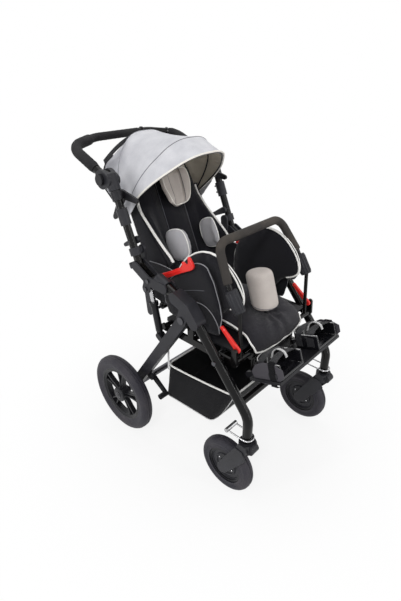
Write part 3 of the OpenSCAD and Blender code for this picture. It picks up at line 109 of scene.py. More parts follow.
def slope(lean: float) -> Point:
    """The sine and cosine of a lean in degrees."""
    return (sin(radians(lean)), cos(radians(lean)))


def around(count: int) -> list[float]:
    """Evenly spread turns round a circle."""
    return [2 * pi * k / count for k in range(count)]


def squared(turn: float, power: float) -> Point:
    """A turn's place on a circle with squared corners."""
    c, s = cos(turn), sin(turn)
    return (copysign(abs(c) ** power, c), copysign(abs(s) ** power, s))


def rounded(points: Sequence[Vector], radii: Sequence[float], steps: int = 10) -> list[Vector]:
    """Rounds the inner corners of a bent line.

    Args:
        points: The line's corners, in metres.
        radii: One radius for each inner corner, in metres.
        steps: How many places each bend gets.

    Returns:
        The line's places, with an arc at each inner corner.
    """
    line = [points[0].copy()]
    for i, radius in enumerate(radii, start=1):
        back = (points[i - 1] - points[i]).normalized()
        on = (points[i + 1] - points[i]).normalized()
        half = back.angle(on) / 2
        tail = radius / tan(half)
        centre = points[i] + (back + on).normalized() * (radius / sin(half))
        start, end = points[i] + back * tail - centre, points[i] + on * tail - centre
        whole = start.angle(end)
        for k in range(steps + 1):
            t = k / steps
            arc = start * sin((1 - t) * whole) + end * sin(t * whole)
            line.append(centre + arc / sin(whole))
    line.append(points[-1].copy())
    return line


def evened(path: Sequence[Vector], gap: float) -> list[Vector]:
    """The same line with its places about one gap apart.

    Args:
        path: The line's places.
        gap: The gap in metres.

    Returns:
        The line's new places.
    """
    out = [path[0].copy()]
    for a, b in zip(path, path[1:]):
        count = max(1, round((b - a).length / gap))
        out += [a.lerp(b, k / count) for k in range(1, count + 1)]
    return out


# Finishes


def linear(rgb: Rgb) -> tuple[float, float, float, float]:
    """A colour in scene light, from the 0 to 255 numbers that a screen shows."""
    share = [c / 255 for c in rgb]
    return (*[c / 12.92 if c <= 0.04045 else ((c + 0.055) / 1.055) ** 2.4 for c in share], 1.0)


def tune(node: bpy.types.Node, values: dict[str, object]) -> None:
    """Sets a node's inputs by their names."""
    for name, value in values.items():
        node.inputs[name].default_value = value


class NodeSheet:
    """A node tree with short ways to add and join nodes."""

    MIX_FIRST, MIX_SECOND, MIX_OUT = 6, 7, 2

    def __init__(self, tree: bpy.types.NodeTree) -> None:
        """Keeps the tree and empties it."""
        self.tree = tree
        tree.nodes.clear()

    def add(self, kind: str, **settings: object) -> bpy.types.Node:
        """Adds a node.

        Args:
            kind: The node's type.
            settings: The node's own settings.

        Returns:
            The new node.
        """
        node = self.tree.nodes.new(kind)
        for name, value in settings.items():
            setattr(node, name, value)
        return node

    def join(self, source: Socket, target: Socket) -> None:
        """Links one socket to another."""
        self.tree.links.new(source, target)

    def feed(self, value: object, socket: Socket) -> None:
        """Joins a socket to a value's socket, or sets it to a plain value.

        Args:
            value: A socket, number or colour.
            socket: The socket that takes it.
        """
        if isinstance(value, Socket):
            self.join(value, socket)
        else:
            socket.default_value = value

    def sum(self, operation: str, *values: object, clamp: bool = False) -> Socket:
        """Adds a math node.

        Args:
            operation: What the node works out.
            values: Sockets or plain numbers.
            clamp: Whether the result stays from 0 to 1.

        Returns:
            The result's socket.
        """
        node = self.add("ShaderNodeMath", operation=operation, use_clamp=clamp)
        for socket, value in zip(node.inputs, values):
            self.feed(value, socket)
        return node.outputs[0]

    def blend(self, share: Socket, first: object, second: object) -> Socket:
        """Adds a colour mix.

        Args:
            share: The mask's socket.
            first: A colour or socket, shown where the mask is 0.
            second: A colour or socket, shown where the mask is 1.

        Returns:
            The mixed colour's socket.
        """
        node = self.add("ShaderNodeMix", data_type="RGBA")
        self.join(share, node.inputs[0])
        self.feed(first, node.inputs[self.MIX_FIRST])
        self.feed(second, node.inputs[self.MIX_SECOND])
        return node.outputs[self.MIX_OUT]

    def noise(self, place: Socket, scale: object, detail: float) -> Socket:
        """Adds a noise.

        Args:
            place: The coordinates' socket.
            scale: A socket or plain number.
            detail: How many finer layers it has.

        Returns:
            The noise's value.
        """
        node = self.add("ShaderNodeTexNoise")
        self.join(place, node.inputs["Vector"])
        self.feed(scale, node.inputs["Scale"])
        node.inputs["Detail"].default_value = detail
        return node.outputs[0]


def new_group(
    name: str, inputs: Iterable[tuple[str, str, object]], outputs: Iterable[tuple[str, str]]
) -> NodeSheet:
    """Starts a shader node group.

    Args:
        name: The group's name.
        inputs: Each input's name, kind and first value.
        outputs: Each output's name and kind.

    Returns:
        The group's empty sheet.
    """
    tree = bpy.data.node_groups.new(name, "ShaderNodeTree")
    for label, kind, value in inputs:
        socket = tree.interface.new_socket(label, in_out="INPUT", socket_type=kind)
        if value is not None:
            socket.default_value = value
    for label, kind in outputs:
        tree.interface.new_socket(label, in_out="OUTPUT", socket_type=kind)
    return NodeSheet(tree)


FLOAT, COLOUR, VECTOR = "NodeSocketFloat", "NodeSocketColor", "NodeSocketVector"
EFFECT_OUT = (("Colour", COLOUR), ("Roughness", FLOAT), ("Height", FLOAT))
THREAD_WANDER, THREAD_SHARE = 0.6, 0.22
CLOUD_SCALE, CLOUD_FLOOR = 26.0, 0.35
SLUB_SCALE, SLUB_FLOOR, SLUB_SHARE, SLUB_LIFT = 420.0, 0.4, 0.5, 0.6
CLOTH_ROUGH, CLOTH_ROUGH_RANGE = 0.72, 0.2
WEAR_AND_REFLECTION_SCALE, WEAR_AND_REFLECTION_FLOOR, WEAR_AND_REFLECTION_EDGE = 14.0, 0.42, 3.0
DUST_MIDDLE, DUST_ROUGH = 0.5, 0.25


def weave_group() -> bpy.types.NodeTree:
    """Woven cloth: threads three ways, with slow mottling and light slubs.

    Returns:
        The node group, built once.
    """
    if "cloth_weave" in bpy.data.node_groups:
        return bpy.data.node_groups["cloth_weave"]
    sheet = new_group(
        "cloth_weave",
        [("Place", VECTOR, None), ("Threads", FLOAT, 900.0), ("Mottle", FLOAT, 0.3), ("Yarn", COLOUR, None),
         ("Shade", COLOUR, None)],
        EFFECT_OUT,
    )
    enter, leave = sheet.add("NodeGroupInput"), sheet.add("NodeGroupOutput")
    place = enter.outputs["Place"]
    threads = []
    for way in "XYZ":
        wave = sheet.add("ShaderNodeTexWave", bands_direction=way)
        sheet.join(place, wave.inputs["Vector"])
        sheet.join(enter.outputs["Threads"], wave.inputs["Scale"])
        wave.inputs["Distortion"].default_value = THREAD_WANDER
        threads.append(wave.outputs["Fac"])
    both = sheet.sum("ADD", threads[0], threads[1])
    woven = sheet.sum("MULTIPLY", sheet.sum("ADD", both, threads[2]), 1 / len(threads))
    slow = sheet.noise(place, CLOUD_SCALE, 4.0)
    fine = sheet.noise(place, SLUB_SCALE, 2.0)
    cloud = sheet.sum("MULTIPLY", sheet.sum("SUBTRACT", slow, CLOUD_FLOOR), enter.outputs["Mottle"])
    pick = sheet.sum("MULTIPLY", sheet.sum("SUBTRACT", fine, SLUB_FLOOR), SLUB_SHARE)
    spread = sheet.sum("ADD", cloud, pick)
    mask = sheet.sum("ADD", spread, sheet.sum("MULTIPLY", woven, THREAD_SHARE), clamp=True)
    sheet.join(sheet.blend(mask, enter.outputs["Yarn"], enter.outputs["Shade"]), leave.inputs["Colour"])
    sheet.join(sheet.sum("MULTIPLY_ADD", slow, CLOTH_ROUGH_RANGE, CLOTH_ROUGH), leave.inputs["Roughness"])
    sheet.join(sheet.sum("ADD", woven, sheet.sum("MULTIPLY", fine, SLUB_LIFT)), leave.inputs["Height"])
    return sheet.tree


def grain_group() -> bpy.types.NodeTree:
    """Moulded or coated surface: fine grain, worn patches and dust; on the frame paint the patches are
    painted brown reflection.

    Returns:
        The node group, built once.
    """
    if "surface_grain" in bpy.data.node_groups:
        return bpy.data.node_groups["surface_grain"]
    sheet = new_group(
        "surface_grain",
        [("Place", VECTOR, None), ("Grain", FLOAT, 600.0), ("Wear And Reflection", FLOAT, 0.3), ("Rough", FLOAT, 0.4),
         ("Body", COLOUR, None), ("Worn And Reflected Colour", COLOUR, None)],
        EFFECT_OUT,
    )
    enter, leave = sheet.add("NodeGroupInput"), sheet.add("NodeGroupOutput")
    place = enter.outputs["Place"]
    fine = sheet.noise(place, enter.outputs["Grain"], 4.0)
    broad = sheet.noise(place, WEAR_AND_REFLECTION_SCALE, 5.0)
    # On the frame paint this mask lays painted brown reflection; on other finishes it marks worn patches.
    spots = sheet.sum("MULTIPLY", sheet.sum("SUBTRACT", broad, WEAR_AND_REFLECTION_FLOOR), WEAR_AND_REFLECTION_EDGE, clamp=True)
    mask = sheet.sum("MULTIPLY", sheet.sum("MULTIPLY", spots, fine), enter.outputs["Wear And Reflection"], clamp=True)
    sheet.join(sheet.blend(mask, enter.outputs["Body"], enter.outputs["Worn And Reflected Colour"]), leave.inputs["Colour"])
    lift = sheet.sum("MULTIPLY", sheet.sum("SUBTRACT", broad, DUST_MIDDLE), DUST_ROUGH)
    sheet.join(sheet.sum("ADD", enter.outputs["Rough"], lift, clamp=True), leave.inputs["Roughness"])
    sheet.join(fine, leave.inputs["Height"])
    return sheet.tree


@dataclass(frozen=True)
class Finish:
    """What every finish has: a name, its main colour and a second colour, which is a second yarn tone on
    cloth, worn patches on most mouldings and painted brown reflection on the frame paint.
    """

    name: str
    main: Rgb
    second: Rgb

    def start(
        self, group: bpy.types.NodeTree
    ) -> tuple[bpy.types.Material, NodeSheet, bpy.types.Node, bpy.types.Node]:
        """Starts a material on Object coordinates.

        Args:
            group: The effect that feeds the shader.

        Returns:
            The material, its sheet, the shader and the placed effect.
        """
        material = bpy.data.materials.new(self.name)
        material.use_nodes = True
        material.diffuse_color = linear(self.main)
        sheet = NodeSheet(material.node_tree)
        out = sheet.add("ShaderNodeOutputMaterial")
        shader = sheet.add("ShaderNodeBsdfPrincipled")
        sheet.join(shader.outputs[0], out.inputs[0])
        effect = sheet.add("ShaderNodeGroup", node_tree=group)
        place = sheet.add("ShaderNodeTexCoord")
        sheet.join(place.outputs["Object"], effect.inputs["Place"])
        sheet.join(effect.outputs["Colour"], shader.inputs["Base Color"])
        sheet.join(effect.outputs["Roughness"], shader.inputs["Roughness"])
        return material, sheet, shader, effect

    def raise_grain(
        self, sheet: NodeSheet, shader: bpy.types.Node, height: Socket, depth: float
    ) -> None:
        """Joins a height to the shader's normal.

        Args:
            sheet: The material's sheet.
            shader: The material's shader.
            height: The height's socket.
            depth: The relief's depth in metres.
        """
        bump = sheet.add("ShaderNodeBump")
        tune(bump, {"Strength": 0.7, "Distance": depth})
        sheet.join(height, bump.inputs["Height"])
        sheet.join(bump.outputs[0], shader.inputs["Normal"])

    def make(self) -> bpy.types.Material:
        """Builds the material."""
        raise NotImplementedError

    def material(self) -> bpy.types.Material:
        """The finish's material, built once."""
        return bpy.data.materials.get(self.name) or self.make()


@dataclass(frozen=True)
class Cloth(Finish):
    """Woven cloth over padding, or webbing."""

    threads: float = 900.0
    mottle: float = 0.35
    depth: float = 0.0005
    sheen: float = 0.15

    def make(self) -> bpy.types.Material:
        """Builds the cloth's material.

        Returns:
            The new material.
        """
        material, sheet, shader, effect = self.start(weave_group())
        tune(effect, {
            "Threads": self.threads, "Mottle": self.mottle, "Yarn": linear(self.main),
            "Shade": linear(self.second),
        })
        tune(shader, {"Specular IOR Level": 0.12, "Sheen Weight": self.sheen, "Sheen Roughness": 0.5})
        self.raise_grain(sheet, shader, effect.outputs["Height"], self.depth)
        return material


@dataclass(frozen=True)
class Ribbed(Cloth):
    """Lining cloth with raised ribs along the buggy."""

    rib_scale: float = 24.0
    rib_depth: float = 0.003

    def make(self) -> bpy.types.Material:
        """Builds the ribbed lining's material.

        Returns:
            The new material.
        """
        material = super().make()
        nodes, links = material.node_tree.nodes, material.node_tree.links
        found = {node.type: node for node in nodes}
        rib = nodes.new("ShaderNodeTexWave")
        rib.bands_direction = "X"
        tune(rib, {"Scale": self.rib_scale})
        links.new(found["TEX_COORD"].outputs["Object"], rib.inputs["Vector"])
        over = nodes.new("ShaderNodeBump")
        tune(over, {"Strength": 0.8, "Distance": self.rib_depth})
        links.new(rib.outputs["Fac"], over.inputs["Height"])
        links.new(found["BUMP"].outputs[0], over.inputs["Normal"])
        links.new(over.outputs[0], found["BSDF_PRINCIPLED"].inputs["Normal"])
        return material


@dataclass(frozen=True)
class Moulded(Finish):
    """Moulded plastic, paint, plated metal, rubber or foam skin."""

    grain: float = 700.0
    # Share of the second colour: worn patches on most finishes, painted brown reflection on the frame paint.
    wear_and_reflection: float = 0.4
    rough: float = 0.42
    depth: float = 0.0003
    metal: float = 0.0
    coat: float = 0.0
    shine: float = 0.22

    def make(self) -> bpy.types.Material:
        """Builds the moulded or coated material.

        Returns:
            The new material.
        """
        material, sheet, shader, effect = self.start(grain_group())
        tune(effect, {
            "Grain": self.grain, "Wear And Reflection": self.wear_and_reflection, "Rough": self.rough, "Body": linear(self.main),
            "Worn And Reflected Colour": linear(self.second),
        })
        tune(shader, {
            "Metallic": self.metal, "Specular IOR Level": self.shine, "Coat Weight": self.coat,
            "Coat Roughness": 0.12,
        })
        self.raise_grain(sheet, shader, effect.outputs["Height"], self.depth)
        return material


class Finishes(Enum):
    """Every finish on the buggy: its name, main colour, second colour (a yarn tone, worn patches, painted
    reflection on the frame paint), and what differs from its kind.
    """

    # The frame paint's brown second colour is painted reflection: it stands in for brown reflections along
    # the tubes and is spread by the worn-patch mask.
    FRAME_BLACK = Moulded(
        "frame_paint", (9, 9, 10), (36, 28, 20), 320.0, wear_and_reflection=0.35, rough=0.13, depth=0.00004, coat=0.14,
        shine=0.15,
    )
    GRAPHITE = Moulded("graphite_mould", (36, 36, 40), (68, 68, 74), 800.0, wear_and_reflection=0.6, rough=0.4)
    BLACK_MOULD = Moulded("black_mould", (22, 22, 25), (58, 58, 63), 800.0, wear_and_reflection=0.5, rough=0.34)
    GLOSS_BLACK = Moulded(
        "gloss_black_mould", (14, 14, 17), (44, 44, 50), 500.0, rough=0.2, depth=0.0001, coat=0.5
    )
    STEEL = Moulded(
        "bright_steel", (188, 188, 190), (120, 116, 110), 900.0, wear_and_reflection=0.6, rough=0.22, depth=0.0001,
        metal=1.0, shine=0.5,
    )
    DARK_STEEL = Moulded(
        "dark_steel", (88, 88, 92), (58, 56, 54), 900.0, wear_and_reflection=0.6, rough=0.32, depth=0.0001, metal=1.0,
        shine=0.5,
    )
    RED = Moulded("red_mould", (218, 34, 30), (240, 96, 84), wear_and_reflection=0.35, rough=0.34, depth=0.0002, coat=0.25)
    TYRE = Moulded("tyre_rubber", (44, 43, 50), (88, 84, 86), 420.0, wear_and_reflection=0.8, rough=0.56, depth=0.0005)
    FOAM_BLACK = Moulded("grip_foam", (26, 26, 28), (66, 65, 66), 1300.0, wear_and_reflection=0.9, rough=0.82, depth=0.0009)
    FOAM_BROWN = Moulded("bumper_foam", (48, 45, 43), (96, 88, 80), 1300.0, wear_and_reflection=0.9, rough=0.7, depth=0.0009)
    CLOTH_BLACK = Cloth("black_cloth", (13, 13, 18), (28, 27, 35), 1000.0, mottle=0.5)
    # Darker than the black cloth to stand for the shade under the seat: painted shade. The sandal flap straps
    # use the same cloth.
    CLOTH_DEEP = Cloth("basket_cloth_painted_shade", (7, 7, 10), (15, 14, 20), 900.0, mottle=0.5, sheen=0.05)
    CLOTH_CHARCOAL = Cloth("charcoal_cloth", (30, 29, 34), (52, 50, 55), 1000.0, mottle=0.6)
    CLOTH_GREY = Cloth("warm_grey_cloth", (200, 192, 186), (164, 155, 150), 1100.0, mottle=0.6)
    CLOTH_COOL = Cloth("cool_grey_cloth", (178, 177, 181), (138, 137, 142), 1100.0, mottle=0.5)
    CLOTH_SILVER = Cloth(
        "silver_cloth", (208, 208, 212), (172, 173, 180), 1000.0, mottle=1.1, depth=0.0004, sheen=0.2
    )
    LINING = Ribbed("taupe_lining", (206, 198, 184), (160, 151, 136), 900.0, mottle=0.6)
    FLAP = Moulded("flap_vinyl", (66, 64, 69), (84, 82, 86), 260.0, wear_and_reflection=0.5, rough=0.6, depth=0.0002)
    PIPING_WHITE = Cloth("white_piping", (240, 239, 236), (206, 204, 200), 1600.0, mottle=0.3, depth=0.0003)
    PIPING_CREAM = Cloth("cream_piping", (238, 235, 228), (204, 198, 188), 1600.0, mottle=0.3, depth=0.0003)
    PIPING_GREY = Cloth("grey_piping", (142, 142, 146), (104, 104, 108), 1600.0, mottle=0.3, depth=0.0003)
    PIPING_SILVER = Cloth("silver_piping", (206, 206, 206), (160, 160, 162), 1600.0, mottle=0.3, depth=0.0003)
    SEAM = Cloth("seam_thread", (96, 97, 103), (66, 67, 72), 2200.0, mottle=0.3, depth=0.0002)
    WEBBING = Cloth("black_webbing", (27, 27, 30), (56, 56, 60), 1800.0, mottle=0.4, depth=0.0006)


# Making


def clear_selection() -> None:
    """Deselects everything."""
    bpy.ops.object.select_all(action="DESELECT")


def take(piece: Piece) -> None:
    """Makes one object the only one selected."""
    clear_selection()
    piece.select_set(True)
    bpy.context.view_layer.objects.active = piece


@contextmanager
def editing(piece: Piece) -> Iterator[None]:
    """Opens a piece in edit mode with its whole mesh selected, and closes it again.

    Args:
        piece: The piece that is edited.
    """
    take(piece)
    bpy.ops.object.mode_set(mode="EDIT")
    bpy.ops.mesh.select_all(action="SELECT")
    yield
    bpy.ops.object.mode_set(mode="OBJECT")


def apply(piece: Piece, kind: str, **settings: object) -> None:
    """Adds a modifier to a piece and applies it.

    Args:
        piece: The piece that is changed.
        kind: The modifier's type.
        settings: The modifier's own settings.
    """
    take(piece)
    modifier = piece.modifiers.new(kind.lower(), kind)
    for name, value in settings.items():
        setattr(modifier, name, value)
    bpy.ops.object.modifier_apply(modifier=modifier.name)


def bevel(piece: Piece, width: float) -> None:
    """Rounds a piece's sharp edges."""
    apply(piece, "BEVEL", width=width, segments=3, limit_method="ANGLE", angle_limit=SHARP_EDGE)


def settle(piece: Piece, crease: float = 40.0) -> None:
    """Merges doubles, turns the faces outwards and shades smooth.

    Args:
        piece: The piece that is settled.
        crease: The edge angle in degrees past which it stays sharp.
    """
    with editing(piece):
        bpy.ops.mesh.remove_doubles(threshold=1e-6)
        bpy.ops.mesh.normals_make_consistent(inside=False)
    bpy.ops.object.shade_smooth_by_angle(angle=radians(crease))


def placed(name: str, data: bpy.types.ID) -> Piece:
    """A new object in the scene, from its data."""
    thing = bpy.data.objects.new(name, data)
    bpy.context.scene.collection.objects.link(thing)
    return thing


def from_faces(
    name: str, places: Sequence[Vector], faces: Sequence[Sequence[int]], edges: Sequence[tuple[int, int]] = ()
) -> Piece:
    """A mesh object from its places, faces and loose edges.

    Args:
        name: The piece's name.
        places: The mesh's places, in metres.
        faces: Each face's places.
        edges: Each loose edge's places.

    Returns:
        The mesh object.
    """
    mesh = bpy.data.meshes.new(name)
    mesh.from_pydata([tuple(p) for p in places], edges, [tuple(f) for f in faces])
    mesh.update()
    return placed(name, mesh)


def quilt(rows: int, columns: int) -> list[tuple[int, ...]]:
    """The faces of a sheet whose places come row by row."""
    starts = [i * (columns + 1) + j for i in range(rows) for j in range(columns)]
    return [(a, a + 1, a + columns + 2, a + columns + 1) for a in starts]


def ring(radius: float, sides: int) -> list[Point]:
    """A round section."""
    return [(radius * cos(turn), radius * sin(turn)) for turn in around(sides)]


def cord(radius: float) -> list[Point]:
    """The section of piping, from its radius in millimetres."""
    return ring(radius * MM, 8)


def band(width: float, thick: float) -> list[Point]:
    """A strap's section with softened edges.

    Args:
        width: The strap's width in millimetres.
        thick: Its thickness in millimetres.

    Returns:
        The section in metres.
    """
    w, t = width * MM / 2, thick * MM / 2
    s = t * 0.8
    half = [(w, t - s), (w - s, t), (-w + s, t), (-w, t - s)]
    return half + [(-a, -b) for a, b in half]


def sweep(
    name: str,
    path: Sequence[Vector],
    section: Callable[[float], list[Point]] | list[Point],
    closed: bool = False,
    side: Sequence[Vector] | Vector | None = None,
) -> Piece:
    """Carries a section along a line.

    Args:
        name: The piece's name.
        path: The line's places.
        section: The section, or a function that gives it at a share of the line.
        closed: Whether the line joins its own start.
        side: The way the section's width lies, one for all places or one for each.

    Returns:
        The closed mesh object.
    """
    count = len(path)
    places: list[Vector] = []
    normal = None
    width = 0
    for i, p in enumerate(path):
        before = path[i - 1] if closed or i else p
        after = path[(i + 1) % count] if closed or i + 1 < count else p
        tangent = (after - before).normalized()
        if side is not None:
            lead = side[i] if isinstance(side, (list, tuple)) else side
            normal = (lead - tangent * lead.dot(tangent)).normalized()
        elif normal is None:
            lead = Vector((1, 0, 0)) if abs(tangent.x) < 0.8 else Vector((0, 0, 1))
            normal = (lead - tangent * lead.dot(tangent)).normalized()
        else:
            normal = (normal - tangent * normal.dot(tangent)).normalized()
        up = tangent.cross(normal)
        shape = section(i / (count - 1)) if callable(section) else section
        width = len(shape)
        places += [p + normal * a + up * b for a, b in shape]
    faces = []
    for i in range(count if closed else count - 1):
        a, b = i * width, (i + 1) % count * width
        faces += [(a + k, a + (k + 1) % width, b + (k + 1) % width, b + k) for k in range(width)]
    if not closed:
        faces += [tuple(range(width)), tuple(range((count - 1) * width, count * width))]
    piece = from_faces(name, places, faces)
    settle(piece)
    return piece


def spun(
    name: str, profile: Sequence[Point], centre: Vector, steps: int = 72, loop: bool = False
) -> Piece:
    """Spins a profile about an axle across the buggy.

    Args:
        name: The piece's name.
        profile: Places along the axle and out from it, in millimetres.
        centre: The axle's middle, in metres.
        steps: How many places the turn has.
        loop: Whether the profile closes on itself.

    Returns:
        The closed mesh object.
    """
    places = [centre + Vector((x * MM, 0, r * MM)) for x, r in profile]
    count = len(places)
    piece = from_faces(name, places, [], [(i, (i + 1) % count) for i in range(count if loop else count - 1)])
    with editing(piece):
        bpy.ops.mesh.spin(steps=steps, angle=2 * pi, center=centre, axis=(1, 0, 0))
    settle(piece, 32)
    return piece


def slab(name: str, outline: Sequence[Vector], thick: Vector, edge: float) -> Piece:
    """A flat outline drawn out to a plate with rounded edges.

    Args:
        name: The piece's name.
        outline: The outline's corners.
        thick: How far and which way it is drawn out.
        edge: The edge's rounding in metres.

    Returns:
        The mesh object.
    """
    piece = from_faces(name, outline, [tuple(range(len(outline)))])
    with editing(piece):
        bpy.ops.mesh.extrude_region_move(TRANSFORM_OT_translate={"value": tuple(thick)})
    settle(piece)
    bevel(piece, edge)
    settle(piece)
    return piece


def rounded_end(first: Point, second: Point, r_first: float, r_second: float, steps: int = 10) -> list[Point]:
    """The outline of two rounds and the straight sides between them, ahead and up.

    Args:
        first: The first round's middle.
        second: The second round's middle.
        r_first: The first round's radius.
        r_second: The second round's radius.
        steps: How many places each half round has.

    Returns:
        The closed outline.
    """
    way = atan2(second[1] - first[1], second[0] - first[0])
    out = []
    for middle, radius, start in ((second, r_second, -0.5), (first, r_first, 0.5)):
        for k in range(steps + 1):
            turn = way + pi * (k / steps + start)
            out.append((middle[0] + radius * cos(turn), middle[1] + radius * sin(turn)))
    return out


def merged(name: str, pieces: Sequence[Piece]) -> Piece:
    """Joins several objects into one.

    Args:
        name: The joined piece's name.
        pieces: The objects that become one.

    Returns:
        The joined piece.
    """
    clear_selection()
    for piece in pieces:
        piece.select_set(True)
    bpy.context.view_layer.objects.active = pieces[0]
    bpy.ops.object.join()
    pieces[0].name = name
    pieces[0].data.name = name
    return pieces[0]


def dress(
    piece: Piece, finish: Finishes, body: str, nodes: Sequence[str] = ()
) -> Piece:
    """Gives a piece its finish, its body and what it stands for.

    Args:
        piece: The finished mesh.
        finish: The finish on it.
        body: The CAD body it rides on.
        nodes: The CAD nodes that it replaces.

    Returns:
        The same piece.
    """
    if not piece.data.materials:
        piece.data.materials.append(finish.value.material())
    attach(piece, body)
    if nodes:
        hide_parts(*nodes)
    LOG.info("%s: %d faces on %s", piece.name, len(piece.data.polygons), body)
    return piece


def node_copy(node: str, name: str) -> Piece:
    """A merged copy of a CAD node's mesh.

    Args:
        node: The CAD node.
        name: The copy's name.

    Returns:
        The copy, without a material.
    """
    piece = placed(name, frame["nodes"][node].data.copy())
    piece.data.materials.clear()
    shape = bmesh.new()
    shape.from_mesh(piece.data)
    bmesh.ops.remove_doubles(shape, verts=shape.verts, dist=2e-6)
    shape.to_mesh(piece.data)
    shape.free()
    return piece


@dataclass(frozen=True)
class Stuffing:
    """How a pad is filled: a cloth skin blown up from a slightly smaller form."""

    voxel: float = 5.0
    tuck: float = 2.2
    cap: float = 4.2
    pressure: float = 4.0
    frames: int = 20
    quality: int = 4

    def fill(self, node: str, name: str) -> Piece:
        """Makes a stuffed pad in a CAD solid's place.

        Args:
            node: The CAD node whose form the pad takes.
            name: The pad's name.

        Returns:
            The pad, with its cloth settled into the mesh.
        """
        pad = node_copy(node, name)
        apply(pad, "REMESH", mode="VOXEL", voxel_size=self.voxel * MM)
        pad.data.update()
        for v, normal in [(v, v.normal.copy()) for v in pad.data.vertices]:
            v.co -= normal * self.tuck * MM
        self.blow(pad)
        apply(pad, "SUBSURF", levels=1, render_levels=1)
        take(pad)
        bpy.ops.object.shade_smooth()
        return pad

    def blow(self, pad: Piece) -> None:
        """Blows the skin up under pressure and caps how far each place moves.

        Args:
            pad: The pad, slightly smaller than it ends.
        """
        scene = bpy.context.scene
        rest = [v.co.copy() for v in pad.data.vertices]
        take(pad)
        cloth = pad.modifiers.new("stuffing", "CLOTH")
        cloth.settings.use_pressure = True
        cloth.settings.uniform_pressure_force = self.pressure
        cloth.settings.effector_weights.gravity = 0.0
        cloth.settings.quality = self.quality
        cloth.collision_settings.use_collision = False
        cloth.point_cache.frame_start = 1
        cloth.point_cache.frame_end = self.frames
        for step in range(1, self.frames + 1):
            scene.frame_set(step)
        bpy.ops.object.modifier_apply(modifier=cloth.name)
        scene.frame_set(1)
        for v, was in zip(pad.data.vertices, rest):
            move = v.co - was
            if move.length > self.cap * MM:
                v.co = was + move.normalized() * self.cap * MM


def press(piece: Piece, depth: Callable[[Vector, Vector], float]) -> None:
    """Moves each place of a piece inwards along its normal.

    Args:
        piece: The piece that is pressed.
        depth: Gives the depth in millimetres from a place and its normal.
    """
    piece.data.update()
    moves = [v.normal * -depth(v.co, v.normal) * MM for v in piece.data.vertices]
    for v, move in zip(piece.data.vertices, moves):
        v.co += move
    piece.data.update()


class Surface:
    """A finished piece's skin, that trim is laid on."""

    def __init__(self, piece: Piece) -> None:
        """Keeps the piece's faces for searching."""
        mesh = piece.data
        self.tree = BVHTree.FromPolygons([v.co for v in mesh.vertices], [p.vertices for p in mesh.polygons])

    def lay(self, path: Sequence[Vector], off: float) -> list[Vector]:
        """Brings a line to the skin.

        Args:
            path: Places near the skin.
            off: How far off the skin the line lies, in millimetres.

        Returns:
            The line on the skin.
        """
        out = []
        for p in path:
            place, normal, _, _ = self.tree.find_nearest(p)
            out.append(place + normal * off * MM)
        return out


def relaxed(path: Sequence[Vector], closed: bool, rounds: int = 3) -> list[Vector]:
    """Smooths a line's small steps.

    Args:
        path: The line's places.
        closed: Whether it joins its own start.
        rounds: How often it is smoothed.

    Returns:
        The smoothed line.
    """
    line = list(path)
    for _ in range(rounds):
        n = len(line)
        line = [
            line[i] if not closed and i in (0, n - 1) else (line[i - 1] + line[i] * 2 + line[(i + 1) % n]) / 4
            for i in range(n)
        ]
    return line


def piping(
    name: str, skin: Surface, path: Sequence[Vector], radius: float, closed: bool = False, off: float = 0.3
) -> Piece:
    """Sewn-in piping along a line on a pad.

    Args:
        name: The piece's name.
        skin: The pad's skin.
        path: Places near the skin, in metres.
        radius: The piping's radius in millimetres.
        closed: Whether it joins its own start.
        off: How far its middle stands off the skin, as a share of its radius.

    Returns:
        The piping's mesh object.
    """
    if closed:
        path = evened([*path, path[0]], PIPING_GAP)[:-1]
    else:
        path = evened(path, PIPING_GAP)
    return sweep(name, relaxed(skin.lay(path, off * radius), closed), cord(radius), closed)


# Sub-assemblies


